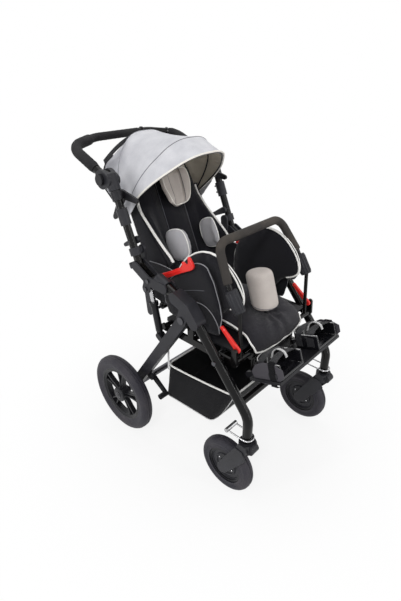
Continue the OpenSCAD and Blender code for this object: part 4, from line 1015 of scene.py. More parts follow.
@dataclass
class Backrest:
    """The reclining back: its cushion with bolsters, the lateral pads and the headrest."""

    hinge: Point = (95, 505)
    lean: float = 22.6
    start: float = 22.0
    length: float = 430.0
    half_w: float = 146.0
    rear: float = 10.4
    thick: float = 36.0
    bolster: float = 92.0
    bolster_shares: tuple[float, ...] = (0.62, 0.3, 0.18, 0.1, 0.7, 0.42)
    crest: float = 0.97
    crest_shares: Point = (0.27, 0.79)
    crest_tuck: Point = (1, 8)
    crest_across: float = 0.995
    seam: float = 0.36
    seam_shares: Point = (0.04, 0.96)
    seam_channel: Point = (4, 5)
    panel_shares: Point = (0.1, 0.8)
    panel_grid: tuple[int, int] = (36, 8)
    panel_front: float = 0.7
    panel_rear: float = -6.0
    panel_draw: float = 2.5
    panel_puff: float = 2.6
    panel_thick: float = 4.0
    lateral: tuple[float, float, float, float] = (186, 56, 47, 142)
    lateral_x: float = 82.0
    lateral_cup: float = 7.0
    lateral_square: float = 0.7
    head: Place = (374, 60, 59)
    head_seam: float = 0.36
    head_channel: Point = (4.5, 3.6)
    head_front: float = 95.0
    head_edge: Point = (80, 26)
    head_square: float = 0.6
    head_drop: float = 16.0
    head_widths: Point = (1.08, 0.84)
    edge_piping: float = 4.4
    fine_piping: float = 1.9
    head_piping: float = 1.8

    def at(self, run: float, front: float, across: float) -> Vector:
        """A place up the back, ahead of its line and across."""
        s, c = slope(self.lean)
        return spot(self.hinge[0] - run * s + front * c, self.hinge[1] + run * c + front * s, across)

    def local(self, place: Vector) -> Vector:
        """The run, front and across of a place, in millimetres."""
        s, c = slope(self.lean)
        ahead, up = ahead_of(place) - self.hinge[0], place.z / MM - self.hinge[1]
        return Vector((-ahead * s + up * c, ahead * c + up * s, place.x / MM))

    def stand(self, across_share: float, t: float) -> float:
        """How far the bolsters stand forward.

        Args:
            across_share: The share across the cushion.
            t: The share up the cushion.

        Returns:
            The distance in millimetres.
        """
        a, b, c, d, e, f = self.bolster_shares
        side = smooth((abs(across_share) - a) / b)
        return self.bolster * side * smooth((t - c) / d) * max(0.0, min(1.0, (e - t) / f))

    def build(self) -> None:
        """Builds and dresses the back's soft pieces."""
        self.cushion()
        self.side_panels()
        self.laterals()
        self.headrest()

    def side_panels(self) -> None:
        """The cloth panels that close the bolsters' sides back to the frame, with thin edge piping."""
        runs, deep = self.panel_grid
        for side in SIDES:
            tag = SIDES[side]
            places = []
            for i in range(runs + 1):
                t = mix(*self.panel_shares, i / runs)
                run, share = self.start + t * self.length, self.panel_front
                front = self.rear + share * self.thick + share * self.stand(self.crest, t)
                for j in range(deep + 1):
                    f = j / deep
                    puff = self.panel_puff * sin(pi * f) * sin(pi * i / runs)
                    across = side * (self.half_w + 0.4 - self.panel_draw * f + puff)
                    places.append(self.at(run, mix(self.panel_rear, front, f), across))
            panel = from_faces(f"back_side_panel_{tag}", places, quilt(runs, deep))
            settle(panel)
            apply(panel, "SOLIDIFY", thickness=self.panel_thick * MM, offset=0.0)
            apply(panel, "SUBSURF", levels=1, render_levels=1)
            settle(panel, SOFT_CREASE)
            dress(panel, Finishes.CLOTH_BLACK, "backrest")
            edge = sweep(f"back_edge_piping_{tag}", places[::deep + 1], cord(self.fine_piping))
            dress(edge, Finishes.PIPING_WHITE, "backrest")

    def channels(self, place: Vector, normal: Vector) -> float:
        """Sewn channels down the cushion's front.

        Args:
            place: A place of the cushion.
            normal: The way it faces.

        Returns:
            The depth in millimetres.
        """
        if normal.y > 0.2:
            return 0.0
        deep, wide = self.seam_channel
        off = min(abs(abs(self.local(place)[2]) / self.half_w - self.seam), 1) * self.half_w
        return deep * exp(-((off / wide) ** 2))

    def crest_line(self, side: int, steps: int = 39) -> list[Vector]:
        """The line along one bolster's outer crest.

        Args:
            side: The side's sign.
            steps: How many steps it has.

        Returns:
            The line's places.
        """
        line = []
        for k in range(steps + 1):
            t = mix(*self.crest_shares, k / steps)
            tuck = mix(*self.crest_tuck, smooth((t - 0.15) / 0.25))
            front = self.rear + self.thick + self.stand(self.crest, t) - tuck
            line.append(self.at(self.start + t * self.length, front, side * self.crest_across * self.half_w))
        return line

    def cushion(self) -> None:
        """The main cushion, its two sewn channels and the piping on its bolsters."""
        pad = Stuffing(voxel=5.5).fill("backrest_cushion", "backrest_pad")
        press(pad, self.channels)
        skin = Surface(pad)
        dress(pad, Finishes.CLOTH_BLACK, "backrest", ["backrest_cushion"])
        for side in SIDES:
            thick = piping(f"bolster_piping_{SIDES[side]}", skin, self.crest_line(side), self.edge_piping)
            dress(thick, Finishes.PIPING_WHITE, "backrest")
        for side in SIDES:
            runs = [self.start + mix(*self.seam_shares, k / 40) * self.length for k in range(41)]
            line = [self.at(run, self.rear + self.thick, side * self.seam * self.half_w) for run in runs]
            thread = piping(f"back_seam_{SIDES[side]}", skin, line, 0.9)
            dress(thread, Finishes.SEAM, "backrest")

    def laterals(self) -> None:
        """The two lateral pads and the pale piping round their edges."""
        run, half, near, far = self.lateral
        pad = Stuffing(voxel=4.0, tuck=1.6, cap=3.4).fill("lateral_pads", "lateral_cushions")
        skin = Surface(pad)
        dress(pad, Finishes.CLOTH_COOL, "backrest", ["lateral_pads"])
        middle, reach = (near + far) / 2, (far - near) / 2
        for side in SIDES:
            loop = []
            for turn in around(72):
                u, v = squared(turn, self.lateral_square)
                if u >= -0.7:
                    across = side * (self.lateral_x - self.lateral_cup * max(u, 0) ** 2)
                    loop.append(self.at(run + v * half, middle + u * reach, across))
            loop = loop[len(loop) // 2:] + loop[:len(loop) // 2]
            trim = piping(f"lateral_piping_{SIDES[side]}", skin, loop, self.fine_piping)
            dress(trim, Finishes.PIPING_WHITE, "backrest")

    def shield(self, place: Vector) -> Vector:
        """Draws the headrest's lower end down and in, like a shield.

        Args:
            place: A place of the headrest.

        Returns:
            Where it goes.
        """
        run, front, across = self.local(place)
        middle, half_l, half_w = self.head
        low = smooth((middle + 0.3 * half_l - run) / (1.3 * half_l))
        share = min(1.0, abs(across) / half_w)
        drop = self.head_drop * low * (1 - share * share)
        return self.at(run - drop, front - 3, across * mix(*self.head_widths, low))

    def lobes(self, place: Vector, normal: Vector) -> float:
        """Two sewn channels between the headrest's three lobes.

        Args:
            place: A place of the headrest.
            normal: The way it faces.

        Returns:
            The depth in millimetres.
        """
        if normal.y > 0.3:
            return 0.0
        deep, wide = self.head_channel
        return deep * exp(-(((abs(self.local(place)[2]) - self.head_seam * self.head[2]) / wide) ** 2))

    def headrest(self) -> None:
        """The headrest's three sewn lobes with its seams and cream piping."""
        run, half_l, half_w = self.head
        pad = Stuffing(voxel=4.0, tuck=1.6, cap=4.0).fill("headrest_pad", "headrest_cushion")
        press(pad, self.lobes)
        for v in pad.data.vertices:
            v.co = self.shield(v.co)
        pad.data.update()
        skin = Surface(pad)
        dress(pad, Finishes.CLOTH_GREY, "headrest", ["headrest_pad"])
        for side in SIDES:
            runs = [run + mix(-0.9, 0.9, k / 20) * half_l for k in range(21)]
            line = [self.shield(self.at(r, self.head_front, side * self.head_seam * half_w)) for r in runs]
            thread = piping(f"headrest_seam_{SIDES[side]}", skin, line, 1.0, off=0.1)
            dress(thread, Finishes.SEAM, "headrest")
        loop = []
        front, forward = self.head_edge
        for turn in around(80):
            u, v = squared(turn, self.head_square)
            loop.append(self.shield(self.at(run + v * half_l, front + forward * smooth(abs(u)), u * half_w)))
        trim = piping("headrest_piping", skin, loop, self.head_piping, closed=True)
        dress(trim, Finishes.PIPING_CREAM, "headrest")


@dataclass(frozen=True)
class SidePad:
    """A wing's or panel's outline before it is shaped, and its faces across, in millimetres."""

    middle: float
    half: float
    base: float
    high: float
    inner: float
    outer: float
    arch: float = 0.45

    def crest(self, ahead: float) -> float:
        """How high the pad stands over its base at a distance ahead of the rear axle."""
        share = max(-1.0, min(1.0, (ahead - self.middle) / self.half))
        return self.high * sqrt(max(0.0, 1 - self.arch * share * share))


@dataclass
class Seat:
    """The seat's cushion, its side wings and panels, and the pommel."""

    line: Line = ((166, 530), (363.3, 547.3), (440, 554), (486, 478))
    half_w: float = 129.0
    wing: SidePad = SidePad(316.0, 132.0, 500.3, 256.0, 133.0, 155.0)
    panel: SidePad = SidePad(284.0, 108.0, 500.3, 212.0, 160.0, 181.0)
    inset: float = 3.0
    square_power: float = 0.62
    wing_rear: float = 1.16
    wing_tall: float = 1.05
    wing_lift: float = 98.0
    wing_rise: Point = (300, 100)
    wing_turns: tuple[tuple[str, Point], ...] = (("outer", (1.12, -0.3)), ("inner", (0.66, -0.3)))
    wing_piping: float = 2.6
    panel_rear: float = 1.4
    panel_turns: Point = (1.1, -0.1)
    panel_piping: float = 1.5
    panel_top: Line = (
        (123, 639), (191, 682), (248, 722), (300, 743), (330, 744), (360, 716), (393, 657),
    )
    panel_hem: Line = ((274, 605), (320, 615), (356, 599), (380, 561), (389, 524))
    panel_pocket: Line = ((223, 621), (275, 643), (326, 658))
    apron: float = 436.0
    apron_drop: float = 16.0
    drop_height: Point = (524, 45)
    drop_ahead: Point = (452, 16)
    level: float = 6.0
    fill_most: float = 1.4
    gather: Place = (1.6, 52, 26)
    seat_piping: float = 3.1
    piping_shares: Point = (0.25, 0.97)
    gusset_grid: tuple[int, int] = (24, 12)
    gusset_x: float = 157.4
    gusset_ahead: Point = (268, 58)
    gusset_low: Point = (512, 536)
    gusset_top: Point = (634, 664)
    gusset_arch: float = 16.0
    gusset_ripple: float = 0.7
    pommel_swell: float = 1.12
    pommel_sweep: float = 0.1
    pommel_foot: Point = (421, 562)
    pommel_lean: float = 12.7
    pommel_seam: float = 0.13

    def build(self) -> None:
        """Builds and dresses the seat's soft pieces."""
        self.cushion()
        self.wings()
        self.panels()
        self.gussets()
        self.pommel()

    def gussets(self) -> None:
        """Cloth between each wing and the back, with thin piping along its upper edge."""
        along, high = self.gusset_grid
        for side in SIDES:
            tag = SIDES[side]
            places = []
            for i in range(along + 1):
                u = i / along
                top = mix(*self.gusset_top, u) + self.gusset_arch * sin(pi * u)
                for j in range(high + 1):
                    v = j / high
                    ripple = self.gusset_ripple * sin(9 * u + 2.2 * v) * sin(pi * v) * sin(pi * u)
                    height = mix(mix(*self.gusset_low, u), top, v)
                    places.append(spot(mix(*self.gusset_ahead, u), height, side * (self.gusset_x + ripple)))
            cloth = from_faces(f"side_gusset_{tag}", places, quilt(along, high))
            settle(cloth)
            apply(cloth, "SOLIDIFY", thickness=1.4 * MM, offset=0.0)
            settle(cloth, SOFT_CREASE)
            dress(cloth, Finishes.CLOTH_BLACK, "chassis")
            trim = sweep(f"gusset_piping_{tag}", places[high::high + 1], cord(1.4))
            dress(trim, Finishes.PIPING_GREY, "chassis")

    def along(self, t: float) -> Point:
        """A place on the cushion's top line."""
        s = 1 - t
        w = (s * s * s, 3 * s * s * t, 3 * s * t * t, t * t * t)
        return (sum(k * p[0] for k, p in zip(w, self.line)), sum(k * p[1] for k, p in zip(w, self.line)))

    def gathers(self, place: Vector, normal: Vector) -> float:
        """Small folds that fan out in front of the pommel.

        Args:
            place: A place of the cushion.
            normal: The way it faces.

        Returns:
            The depth in millimetres.
        """
        if normal.y > 0.4:
            return 0.0
        deep, middle, wide = self.gather
        ahead = ahead_of(place) - self.pommel_foot[0]
        far = hypot(ahead, place.x / MM)
        fade = exp(-(((far - middle) / wide) ** 2)) * smooth((ahead + 20) / 30)
        return deep * fade * sin(9 * atan2(place.x / MM, ahead))

    def cushion(self) -> None:
        """The seat cushion with its gathers, its dropped apron and thick front piping."""
        pad = Stuffing(voxel=5.0).fill("seat_cushion", "seat_pad")
        press(pad, self.gathers)
        (high, deep), (ahead, long) = self.drop_height, self.drop_ahead
        for v in pad.data.vertices:
            drop = smooth((high - v.co.z / MM) / deep) * smooth((ahead_of(v.co) - ahead) / long)
            v.co.z -= self.apron_drop * MM * drop
        self.square(pad)
        skin = Surface(pad)
        dress(pad, Finishes.CLOTH_CHARCOAL, "chassis", ["seat_cushion"])
        edge = self.half_w - 5
        rear, front = self.piping_shares
        line = [spot(*self.along(mix(rear, front, k / 30)), -edge) for k in range(31)]
        tip = self.along(1.0)
        line += [spot(tip[0] + 2, tip[1] - 20, mix(-edge + 3, edge - 3, k / 24)) for k in range(25)]
        line += [spot(*self.along(mix(front, rear, k / 30)), edge) for k in range(31)]
        trim = piping("seat_piping", skin, line, self.seat_piping)
        dress(trim, Finishes.PIPING_WHITE, "chassis")

    def square(self, pad: Piece) -> None:
        """Fills out the apron's front corners to its full width.

        Args:
            pad: The seat's pad.
        """
        widths: dict[int, float] = {}
        front = [v for v in pad.data.vertices if ahead_of(v.co) > self.apron]
        for v in front:
            level = round(v.co.z / MM / self.level)
            widths[level] = max(widths.get(level, 0.0), abs(v.co.x))
        for v in front:
            grow = min(self.fill_most, (self.half_w - 3) * MM / widths[round(v.co.z / MM / self.level)])
            v.co.x *= mix(1.0, grow, smooth((ahead_of(v.co) - self.apron) / 24))
        pad.data.update()
        apply(pad, "SMOOTH", factor=0.5, iterations=3)

    def wing_form(self, ahead: float, height: float) -> Point:
        """Draws a wing out to the rear and lifts its front foot.

        Args:
            ahead: How far ahead of the rear axle a place lies.
            height: How high it lies.

        Returns:
            Where the place goes, ahead and up.
        """
        middle, base = self.wing.middle, self.wing.base
        tall = self.wing.crest(ahead)
        lift = self.wing_lift * smooth((ahead - self.wing_rise[0]) / self.wing_rise[1])
        if ahead < middle:
            ahead = middle - (middle - ahead) * self.wing_rear
        return (ahead, base + lift + (height - base) * (self.wing_tall - lift / tall))

    def panel_form(self, ahead: float, height: float) -> Point:
        """Draws a panel out to the rear and gives it its sloping top.

        Args:
            ahead: How far ahead of the rear axle a place lies.
            height: How high it lies.

        Returns:
            Where the place goes, ahead and up.
        """
        middle, base = self.panel.middle, self.panel.base
        tall = self.panel.crest(ahead)
        if ahead < middle:
            ahead = middle - (middle - ahead) * self.panel_rear
        tops = self.panel_top
        k = next((i for i in range(len(tops) - 2) if ahead < tops[i + 1][0]), len(tops) - 2)
        (a0, z0), (a1, z1) = tops[k], tops[k + 1]
        top = mix(z0, z1, max(-0.2, min(1.2, (ahead - a0) / (a1 - a0))))
        return (ahead, base + (height - base) / tall * (top - base))

    def outline(
        self, shape: SidePad, form: Callable[[float, float], Point], across: float, turns: Point
    ) -> list[Vector]:
        """The arched outline of a wing or panel.

        Args:
            shape: The pad's outline.
            form: What shapes it.
            across: Where it lies across the buggy.
            turns: Where the line starts and ends, in half turns from the front.

        Returns:
            The places round it, from the rear over the top to the front.
        """
        out = []
        for k in range(97):
            u, v = squared(pi * mix(*turns, k / 96), self.square_power)
            e0, e1 = u * sqrt(1 - 0.25 * v * v) * 0.99, v * sqrt(1 - 0.25 * u * u) * 0.99
            ahead = shape.middle + e0 * shape.half
            out.append(spot(*form(ahead, shape.base + (1 + e1) / 2 * shape.crest(ahead)), across))
        return out

    def side_pads(self, node: str, name: str, form: Callable[[float, float], Point]) -> Surface:
        """A pair of upright side pads.

        Args:
            node: The CAD node they replace.
            name: The pads' name.
            form: What shapes them.

        Returns:
            The pads' skin.
        """
        pad = Stuffing(voxel=5.0, tuck=1.8, cap=3.0).fill(node, name)
        for v in pad.data.vertices:
            ahead, height = form(ahead_of(v.co), v.co.z / MM)
            v.co = spot(ahead, height, v.co.x / MM)
        pad.data.update()
        dress(pad, Finishes.CLOTH_BLACK, "chassis", [node])
        return Surface(pad)

    def wings(self) -> None:
        """The wings with white piping over both edges."""
        skin = self.side_pads("side_wings", "wing_pads", self.wing_form)
        faces = {"outer": self.wing.outer - self.inset, "inner": self.wing.inner + self.inset}
        for side in SIDES:
            for edge, turns in self.wing_turns:
                line = self.outline(self.wing, self.wing_form, side * faces[edge], turns)
                trim = piping(f"wing_pads_{edge}_piping_{SIDES[side]}", skin, line, self.wing_piping)
                dress(trim, Finishes.PIPING_WHITE, "chassis")

    def panels(self) -> None:
        """The panels outside the wings, with grey piping, a curved hem and a pocket's seam."""
        skin = self.side_pads("side_panels", "panel_pads", self.panel_form)
        for side in SIDES:
            tag, across = SIDES[side], side * (self.panel.outer - self.inset)
            line = self.outline(self.panel, self.panel_form, across, self.panel_turns)
            trim = piping(f"panel_pads_outer_piping_{tag}", skin, line, self.panel_piping)
            dress(trim, Finishes.PIPING_GREY, "chassis")
            for label, points, radius, finish in (
                ("hem", self.panel_hem, 1.4, Finishes.PIPING_GREY),
                ("pocket", self.panel_pocket, 0.9, Finishes.SEAM),
            ):
                line = [spot(a, z, side * self.panel.outer) for a, z in points]
                line = relaxed(evened(line, PIPING_GAP), False, 24)
                trim = piping(f"panel_pads_{label}_seam_{tag}", skin, line, radius, off=0.2)
                dress(trim, finish, "chassis")

    def pommel(self) -> None:
        """The rounded pommel with its foot's seam."""
        pad = Stuffing(voxel=4.0, tuck=0.6, cap=4.0).fill("pommel_pad", "pommel_cushion")
        apply(pad, "SMOOTH", factor=0.7, iterations=60)
        lowest = min(v.co.z for v in pad.data.vertices)
        centre = sum((v.co for v in pad.data.vertices), Vector()) / len(pad.data.vertices)
        lean = tan(radians(self.pommel_lean))
        for v in pad.data.vertices:
            axis = centre.y + (v.co.z - centre.z) * lean
            v.co.x *= self.pommel_swell
            v.co.y = axis + (v.co.y - axis) * self.pommel_swell + (v.co.z - lowest) * self.pommel_sweep
        skin = Surface(pad)
        dress(pad, Finishes.CLOTH_GREY, "pommel", ["pommel_pad"])
        low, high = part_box("pommel_pad")
        middle = mix(low.y, high.y, 0.42 + 0.12 * self.pommel_seam)
        height = low.z + self.pommel_seam * (high.z - low.z)
        loop = [
            Vector(((low.x + high.x) / 2 + 0.05 * cos(turn), middle + 0.05 * sin(turn), height))
            for turn in around(60)
        ]
        thread = piping("pommel_foot_seam", skin, loop, 1.2, closed=True, off=0.2)
        dress(thread, Finishes.SEAM, "pommel")


@dataclass
class Canopy:
    """The folding canopy: one curved sheet over three bows, with lining, seams and piping."""

    pivot: Point = (-43.5, 804.1)
    rows: tuple[tuple[float, float, float], ...] = (
        (153, 214, 38), (153, 239, 17.2), (158, 268, -32), (163, 292, -48.5),
    )
    shoulder: float = 0.56
    crown: float = 0.42
    side_r: float = 200.0
    top_r: float = 110.0
    off: float = 6.4
    thick: float = 1.6
    sag: float = 7.0
    sag_below: float = 60.0
    sag_span: float = 0.2
    end_share: float = 0.012
    trim_ends: Point = (0.016, 0.984)
    strap_foot: Place = (-66, 972, 207)
    strap_share: float = 0.42
    strap_row: float = 0.78
    strap_arch: float = 7.0
    corner_grid: tuple[int, int] = (40, 12)
    corner_sag: float = 5.0
    corner_low: float = 0.1
    corner_edge: tuple[tuple[float, float, float], ...] = ((-112, 902, 198), (-62, 838, 184))
    tip: Line = ((-52, 866), (30, 874), (36, 864), (-20, 795), (-47, 801))
    tip_x: float = 170.4
    fine: tuple[int, int] = (16, 120)
    follow: float = 0.7759

    def arch(self, share: float, half_w: float, reach: float) -> Point:
        """A place along a bow's arch.

        Args:
            share: The share of the arch, from the left foot to the right one.
            half_w: Half its width.
            reach: How far its top lies from the pivots.

        Returns:
            The place, across and out from the pivots.
        """
        c1, c2 = (half_w, self.shoulder * reach), (self.crown * half_w, reach)
        slant = hypot(c2[0] - c1[0], c2[1] - c1[1])
        lift = atan2(c2[1] - c1[1], c1[0] - c2[0])
        side_turn = pi / 2 - lift
        side_tail, top_tail = self.side_r * tan(side_turn / 2), self.top_r * tan(lift / 2)
        ends = [c1[1] - side_tail]
        for run in (self.side_r * side_turn, slant - side_tail - top_tail, self.top_r * lift):
            ends.append(ends[-1] + run)
        run = (ends[3] + c2[0] - top_tail) * (1 - abs(1 - 2 * share))
        if run < ends[0]:
            p = (half_w, run)
        elif run < ends[1]:
            turn = (run - ends[0]) / self.side_r
            p = (half_w - self.side_r * (1 - cos(turn)), ends[0] + self.side_r * sin(turn))
        elif run < ends[2]:
            far = side_tail + run - ends[1]
            p = (c1[0] - far * cos(lift), c1[1] + far * sin(lift))
        elif run < ends[3]:
            turn = lift - (run - ends[2]) / self.top_r
            p = (c2[0] - top_tail + self.top_r * sin(turn), reach - self.top_r * (1 - cos(turn)))
        else:
            p = (c2[0] - top_tail - (run - ends[3]), reach)
        return (-p[0] if share > 0.5 else p[0], p[1])

    def bow(self, row: int, share: float, off: float) -> Vector:
        """A place over a bow.

        Args:
            row: The bow's row.
            share: The share of its arch.
            off: The step outside its line, in millimetres.

        Returns:
            The place.
        """
        half_w, reach, lean = self.rows[row]
        x, out = self.arch(share, half_w + off, reach + off)
        s, c = slope(lean)
        return spot(self.pivot[0] - out * s, self.pivot[1] + out * c, x)

    def skin(self, row: float, share: float, off: float) -> Vector:
        """A place on the sheet, sagging between the bows.

        Args:
            row: The row, with the share of the way to the next.
            share: The share of the arch.
            off: The step outside the bows' line, in millimetres.

        Returns:
            The place.
        """
        i = min(int(row), len(self.rows) - 2)
        f = row - i
        near, far = self.bow(i, share, off), self.bow(i + 1, share, off)
        place = near.lerp(far, f)
        middle = spot(self.pivot[0], self.pivot[1] + self.sag_below)
        span = (near - far).length / self.sag_span
        dip = self.sag * MM * 4 * f * (1 - f) * min(1.0, span) * sin(pi * share) ** 0.5
        return place + (middle - place).normalized() * dip

    def weight(self, place: Vector) -> float:
        """How much of the fold a place takes, by its lean about the pivots.

        Args:
            place: A place of the canopy.

        Returns:
            The share, from 0 on the rear bow to 1 on the front bow.
        """
        ahead = ahead_of(place) - self.pivot[0]
        up = place.z / MM - self.pivot[1]
        lean = -degrees(atan2(ahead, max(up, 1e-6)))
        rear, mid, front = self.rows[1][2], self.rows[2][2], self.rows[3][2]
        if lean >= rear:
            return 0.0
        if lean >= mid:
            return self.follow * (rear - lean) / (rear - mid)
        return min(1.0, self.follow + (1 - self.follow) * (mid - lean) / (mid - front))

    def fold(self, piece: Piece) -> None:
        """Lets a piece fold with the bows.

        Args:
            piece: The piece over the bows.
        """
        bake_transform(piece, "upper_frame", "canopy_front", start=spot(0, 900), end=spot(200, 900))
        shares = piece.data.attributes["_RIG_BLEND"]
        for i, v in enumerate(piece.data.vertices):
            shares.data[i].value = self.weight(v.co)

    def build(self) -> None:
        """Builds and dresses the canopy."""
        along, across = self.fine[0] * (len(self.rows) - 1), self.fine[1]
        places = []
        for i in range(along + 1):
            for j in range(across + 1):
                share = self.end_share + (1 - 2 * self.end_share) * j / across
                places.append(self.skin(i / self.fine[0], share, self.off))
        cover = from_faces("canopy_sheet", places, quilt(along, across))
        cover.data.materials.append(Finishes.CLOTH_SILVER.value.material())
        cover.data.materials.append(Finishes.LINING.value.material())
        apply(cover, "SOLIDIFY", thickness=self.thick * MM, offset=-1.0, material_offset=1)
        take(cover)
        bpy.ops.object.shade_smooth()
        middle = [self.skin(row, 0.5, self.off) for row in range(len(self.rows))]
        bow = [self.skin(2, k / 60, self.off) for k in range(61)]
        self.fold(cover)
        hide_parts("canopy_cover")
        LOG.info("%s: %d faces, folds with the bows", cover.name, len(cover.data.polygons))
        self.trim()

    def edge(self, row: float, off: float, steps: int = 120) -> list[Vector]:
        """The line along one row of the sheet."""
        return [self.skin(row, mix(*self.trim_ends, k / steps), off) for k in range(steps + 1)]

    def trim(self) -> None:
        """Piping on the edges, thread on the seams over the bows, and the straps and rear corners."""
        front = sweep("canopy_front_piping", self.edge(3, self.off - 0.4), cord(3.0))
        dress(front, Finishes.PIPING_CREAM, "canopy_front")
        rear = sweep("canopy_rear_binding", self.edge(0, self.off - 0.6), cord(2.6))
        dress(rear, Finishes.WEBBING, "upper_frame")
        mid = sweep("canopy_mid_seam", self.edge(2, self.off), ring(1.0 * MM, 6))
        dress(mid, Finishes.SEAM, "canopy_mid")
        back = sweep("canopy_rear_seam", self.edge(1, self.off), ring(1.0 * MM, 6))
        dress(back, Finishes.SEAM, "upper_frame")
        ahead, height, across = self.strap_foot
        for side in SIDES:
            share = 1 - self.strap_share if side < 0 else self.strap_share
            foot, head = spot(ahead, height, side * across), self.skin(self.strap_row, share, self.off + 2.5)
            rise = [self.strap_arch * MM * sin(pi * k / 16) for k in range(17)]
            line = [foot.lerp(head, k / 16) + Vector((0, 0, up)) for k, up in enumerate(rise)]
            strap = sweep(f"canopy_strap_{SIDES[side]}", line, band(15, 2.4), side=Vector((0.5, 0.2, 0.6)))
            dress(strap, Finishes.WEBBING, "upper_frame")
            self.corner(side, foot, head)

    def corner(self, side: int, foot: Vector, head: Vector) -> None:
        """The cloth that closes one rear corner down to the handle's housing, and the tip at the pivot.

        Args:
            side: The side's sign.
            foot: Where the strap starts, on the housing.
            head: Where the strap ends, on the sheet.
        """
        tag, (steps, deep) = SIDES[side], self.corner_grid
        seam = [mix(self.strap_share, self.corner_low, k / steps) for k in range(steps + 1)]
        seam_line = [self.bow(1, 1 - share if side < 0 else share, self.off) for share in seam]
        below = [spot(a, z, side * x) for a, z, x in self.corner_edge]
        outer = evened([head, foot - Vector((side * 4 * MM, 0, 4 * MM)), *below, seam_line[-1]], 4 * MM)
        places = []
        for i, near in enumerate(seam_line):
            far = outer[round(i / steps * (len(outer) - 1))]
            for j in range(deep + 1):
                f = j / deep
                sag = Vector((side * self.corner_sag * MM * sin(pi * f), 0, 0))
                places.append(near.lerp(far, f) - sag)
        cloth = from_faces(f"canopy_corner_{tag}", places, quilt(steps, deep))
        settle(cloth)
        apply(cloth, "SOLIDIFY", thickness=self.thick * MM, offset=0.0)
        settle(cloth, SOFT_CREASE)
        dress(cloth, Finishes.CLOTH_SILVER, "upper_frame")
        edge = places[deep::deep + 1]
        binding = sweep(f"canopy_corner_binding_{tag}", evened(edge[len(edge) // 3:], 5 * MM), cord(2.2))
        dress(binding, Finishes.WEBBING, "upper_frame")
        tip = [spot(a, z, side * self.tip_x) for a, z in self.tip]
        patch = slab(f"canopy_tip_{tag}", tip, Vector((side * self.thick * MM, 0, 0)), 0.5 * MM)
        dress(patch, Finishes.CLOTH_SILVER, "upper_frame")


@dataclass
class Bumper:
    """The padded bumper bar and its ribbed sockets."""

    foot: Point = (452, 630)
    foot_run: float = 6.3
    lean: float = 32.0
    runs: Place = (70, 84, 200)
    half: Point = (173, 148)
    radii: Point = (60, 42)
    foam_d: float = 26.0
    foam_gap: float = 14.0
    socket_r: float = 16.2
    socket_run: float = 35.0
    ribs_round: int = 12
    rib_runs: tuple[float, ...] = (-29, -27, 25, 27)
    collar_runs: Point = (-30, 28)

    def at(self, run: float, across: float) -> Vector:
        """A place up the bumper's plane."""
        s, c = slope(self.lean)
        return spot(self.foot[0] - run * s, self.foot[1] + run * c, across)

    def build(self) -> None:
        """Builds the foam over the bar and the sockets' ribs."""
        start, low, top = self.runs
        wide, narrow = self.half
        places = ((self.foot_run, wide), (low, wide), (top, narrow))
        corners = [self.at(run, x) for run, x in places] + [self.at(run, -x) for run, x in reversed(places)]
        first, second = (r * MM for r in self.radii)
        line = evened(rounded(corners, [first, second, second, first]), 7 * MM)
        foamed = [p for p in line if (p - self.at(0, p.x / MM)).length > (start + self.foam_gap) * MM]
        count = len(foamed)

        def section(t: float) -> list[Point]:
            """Foam with rounded ends."""
            return ring(self.foam_d / 2 * MM * (0.86 + 0.14 * smooth(min(t, 1 - t) * count / 2)), 20)

        foam = sweep("bumper_sleeve", foamed, section)
        dress(foam, Finishes.FOAM_BROWN, "bumper", ["bumper_foam"])
        self.ribs()

    def ribs(self) -> None:
        """Raised ribs and two end collars on each socket."""
        along = (self.at(self.socket_run + 1, 0) - self.at(self.socket_run, 0)).normalized()
        over = Vector((1, 0, 0))
        out = along.cross(over)

        def section(t: float) -> list[Point]:
            """A rib that thins to its ends."""
            return cord(1.4 + 1.2 * smooth(min(t, 1 - t) * 6))

        for side in SIDES:
            middle = self.at(self.socket_run, side * self.half[0])
            bars = []
            for turn in around(self.ribs_round):
                foot = (over * cos(turn) + out * sin(turn)) * self.socket_r * MM
                line = [middle + along * run * MM + foot for run in self.rib_runs]
                bars.append(sweep("rib", line, section))
            for run in self.collar_runs:
                loop = [
                    middle + along * run * MM + (over * cos(turn) + out * sin(turn)) * self.socket_r * MM
                    for turn in around(40)
                ]
                bars.append(sweep("collar", loop, cord(2.0), closed=True))
            dress(merged(f"socket_ribs_{SIDES[side]}", bars), Finishes.GRAPHITE, "chassis")


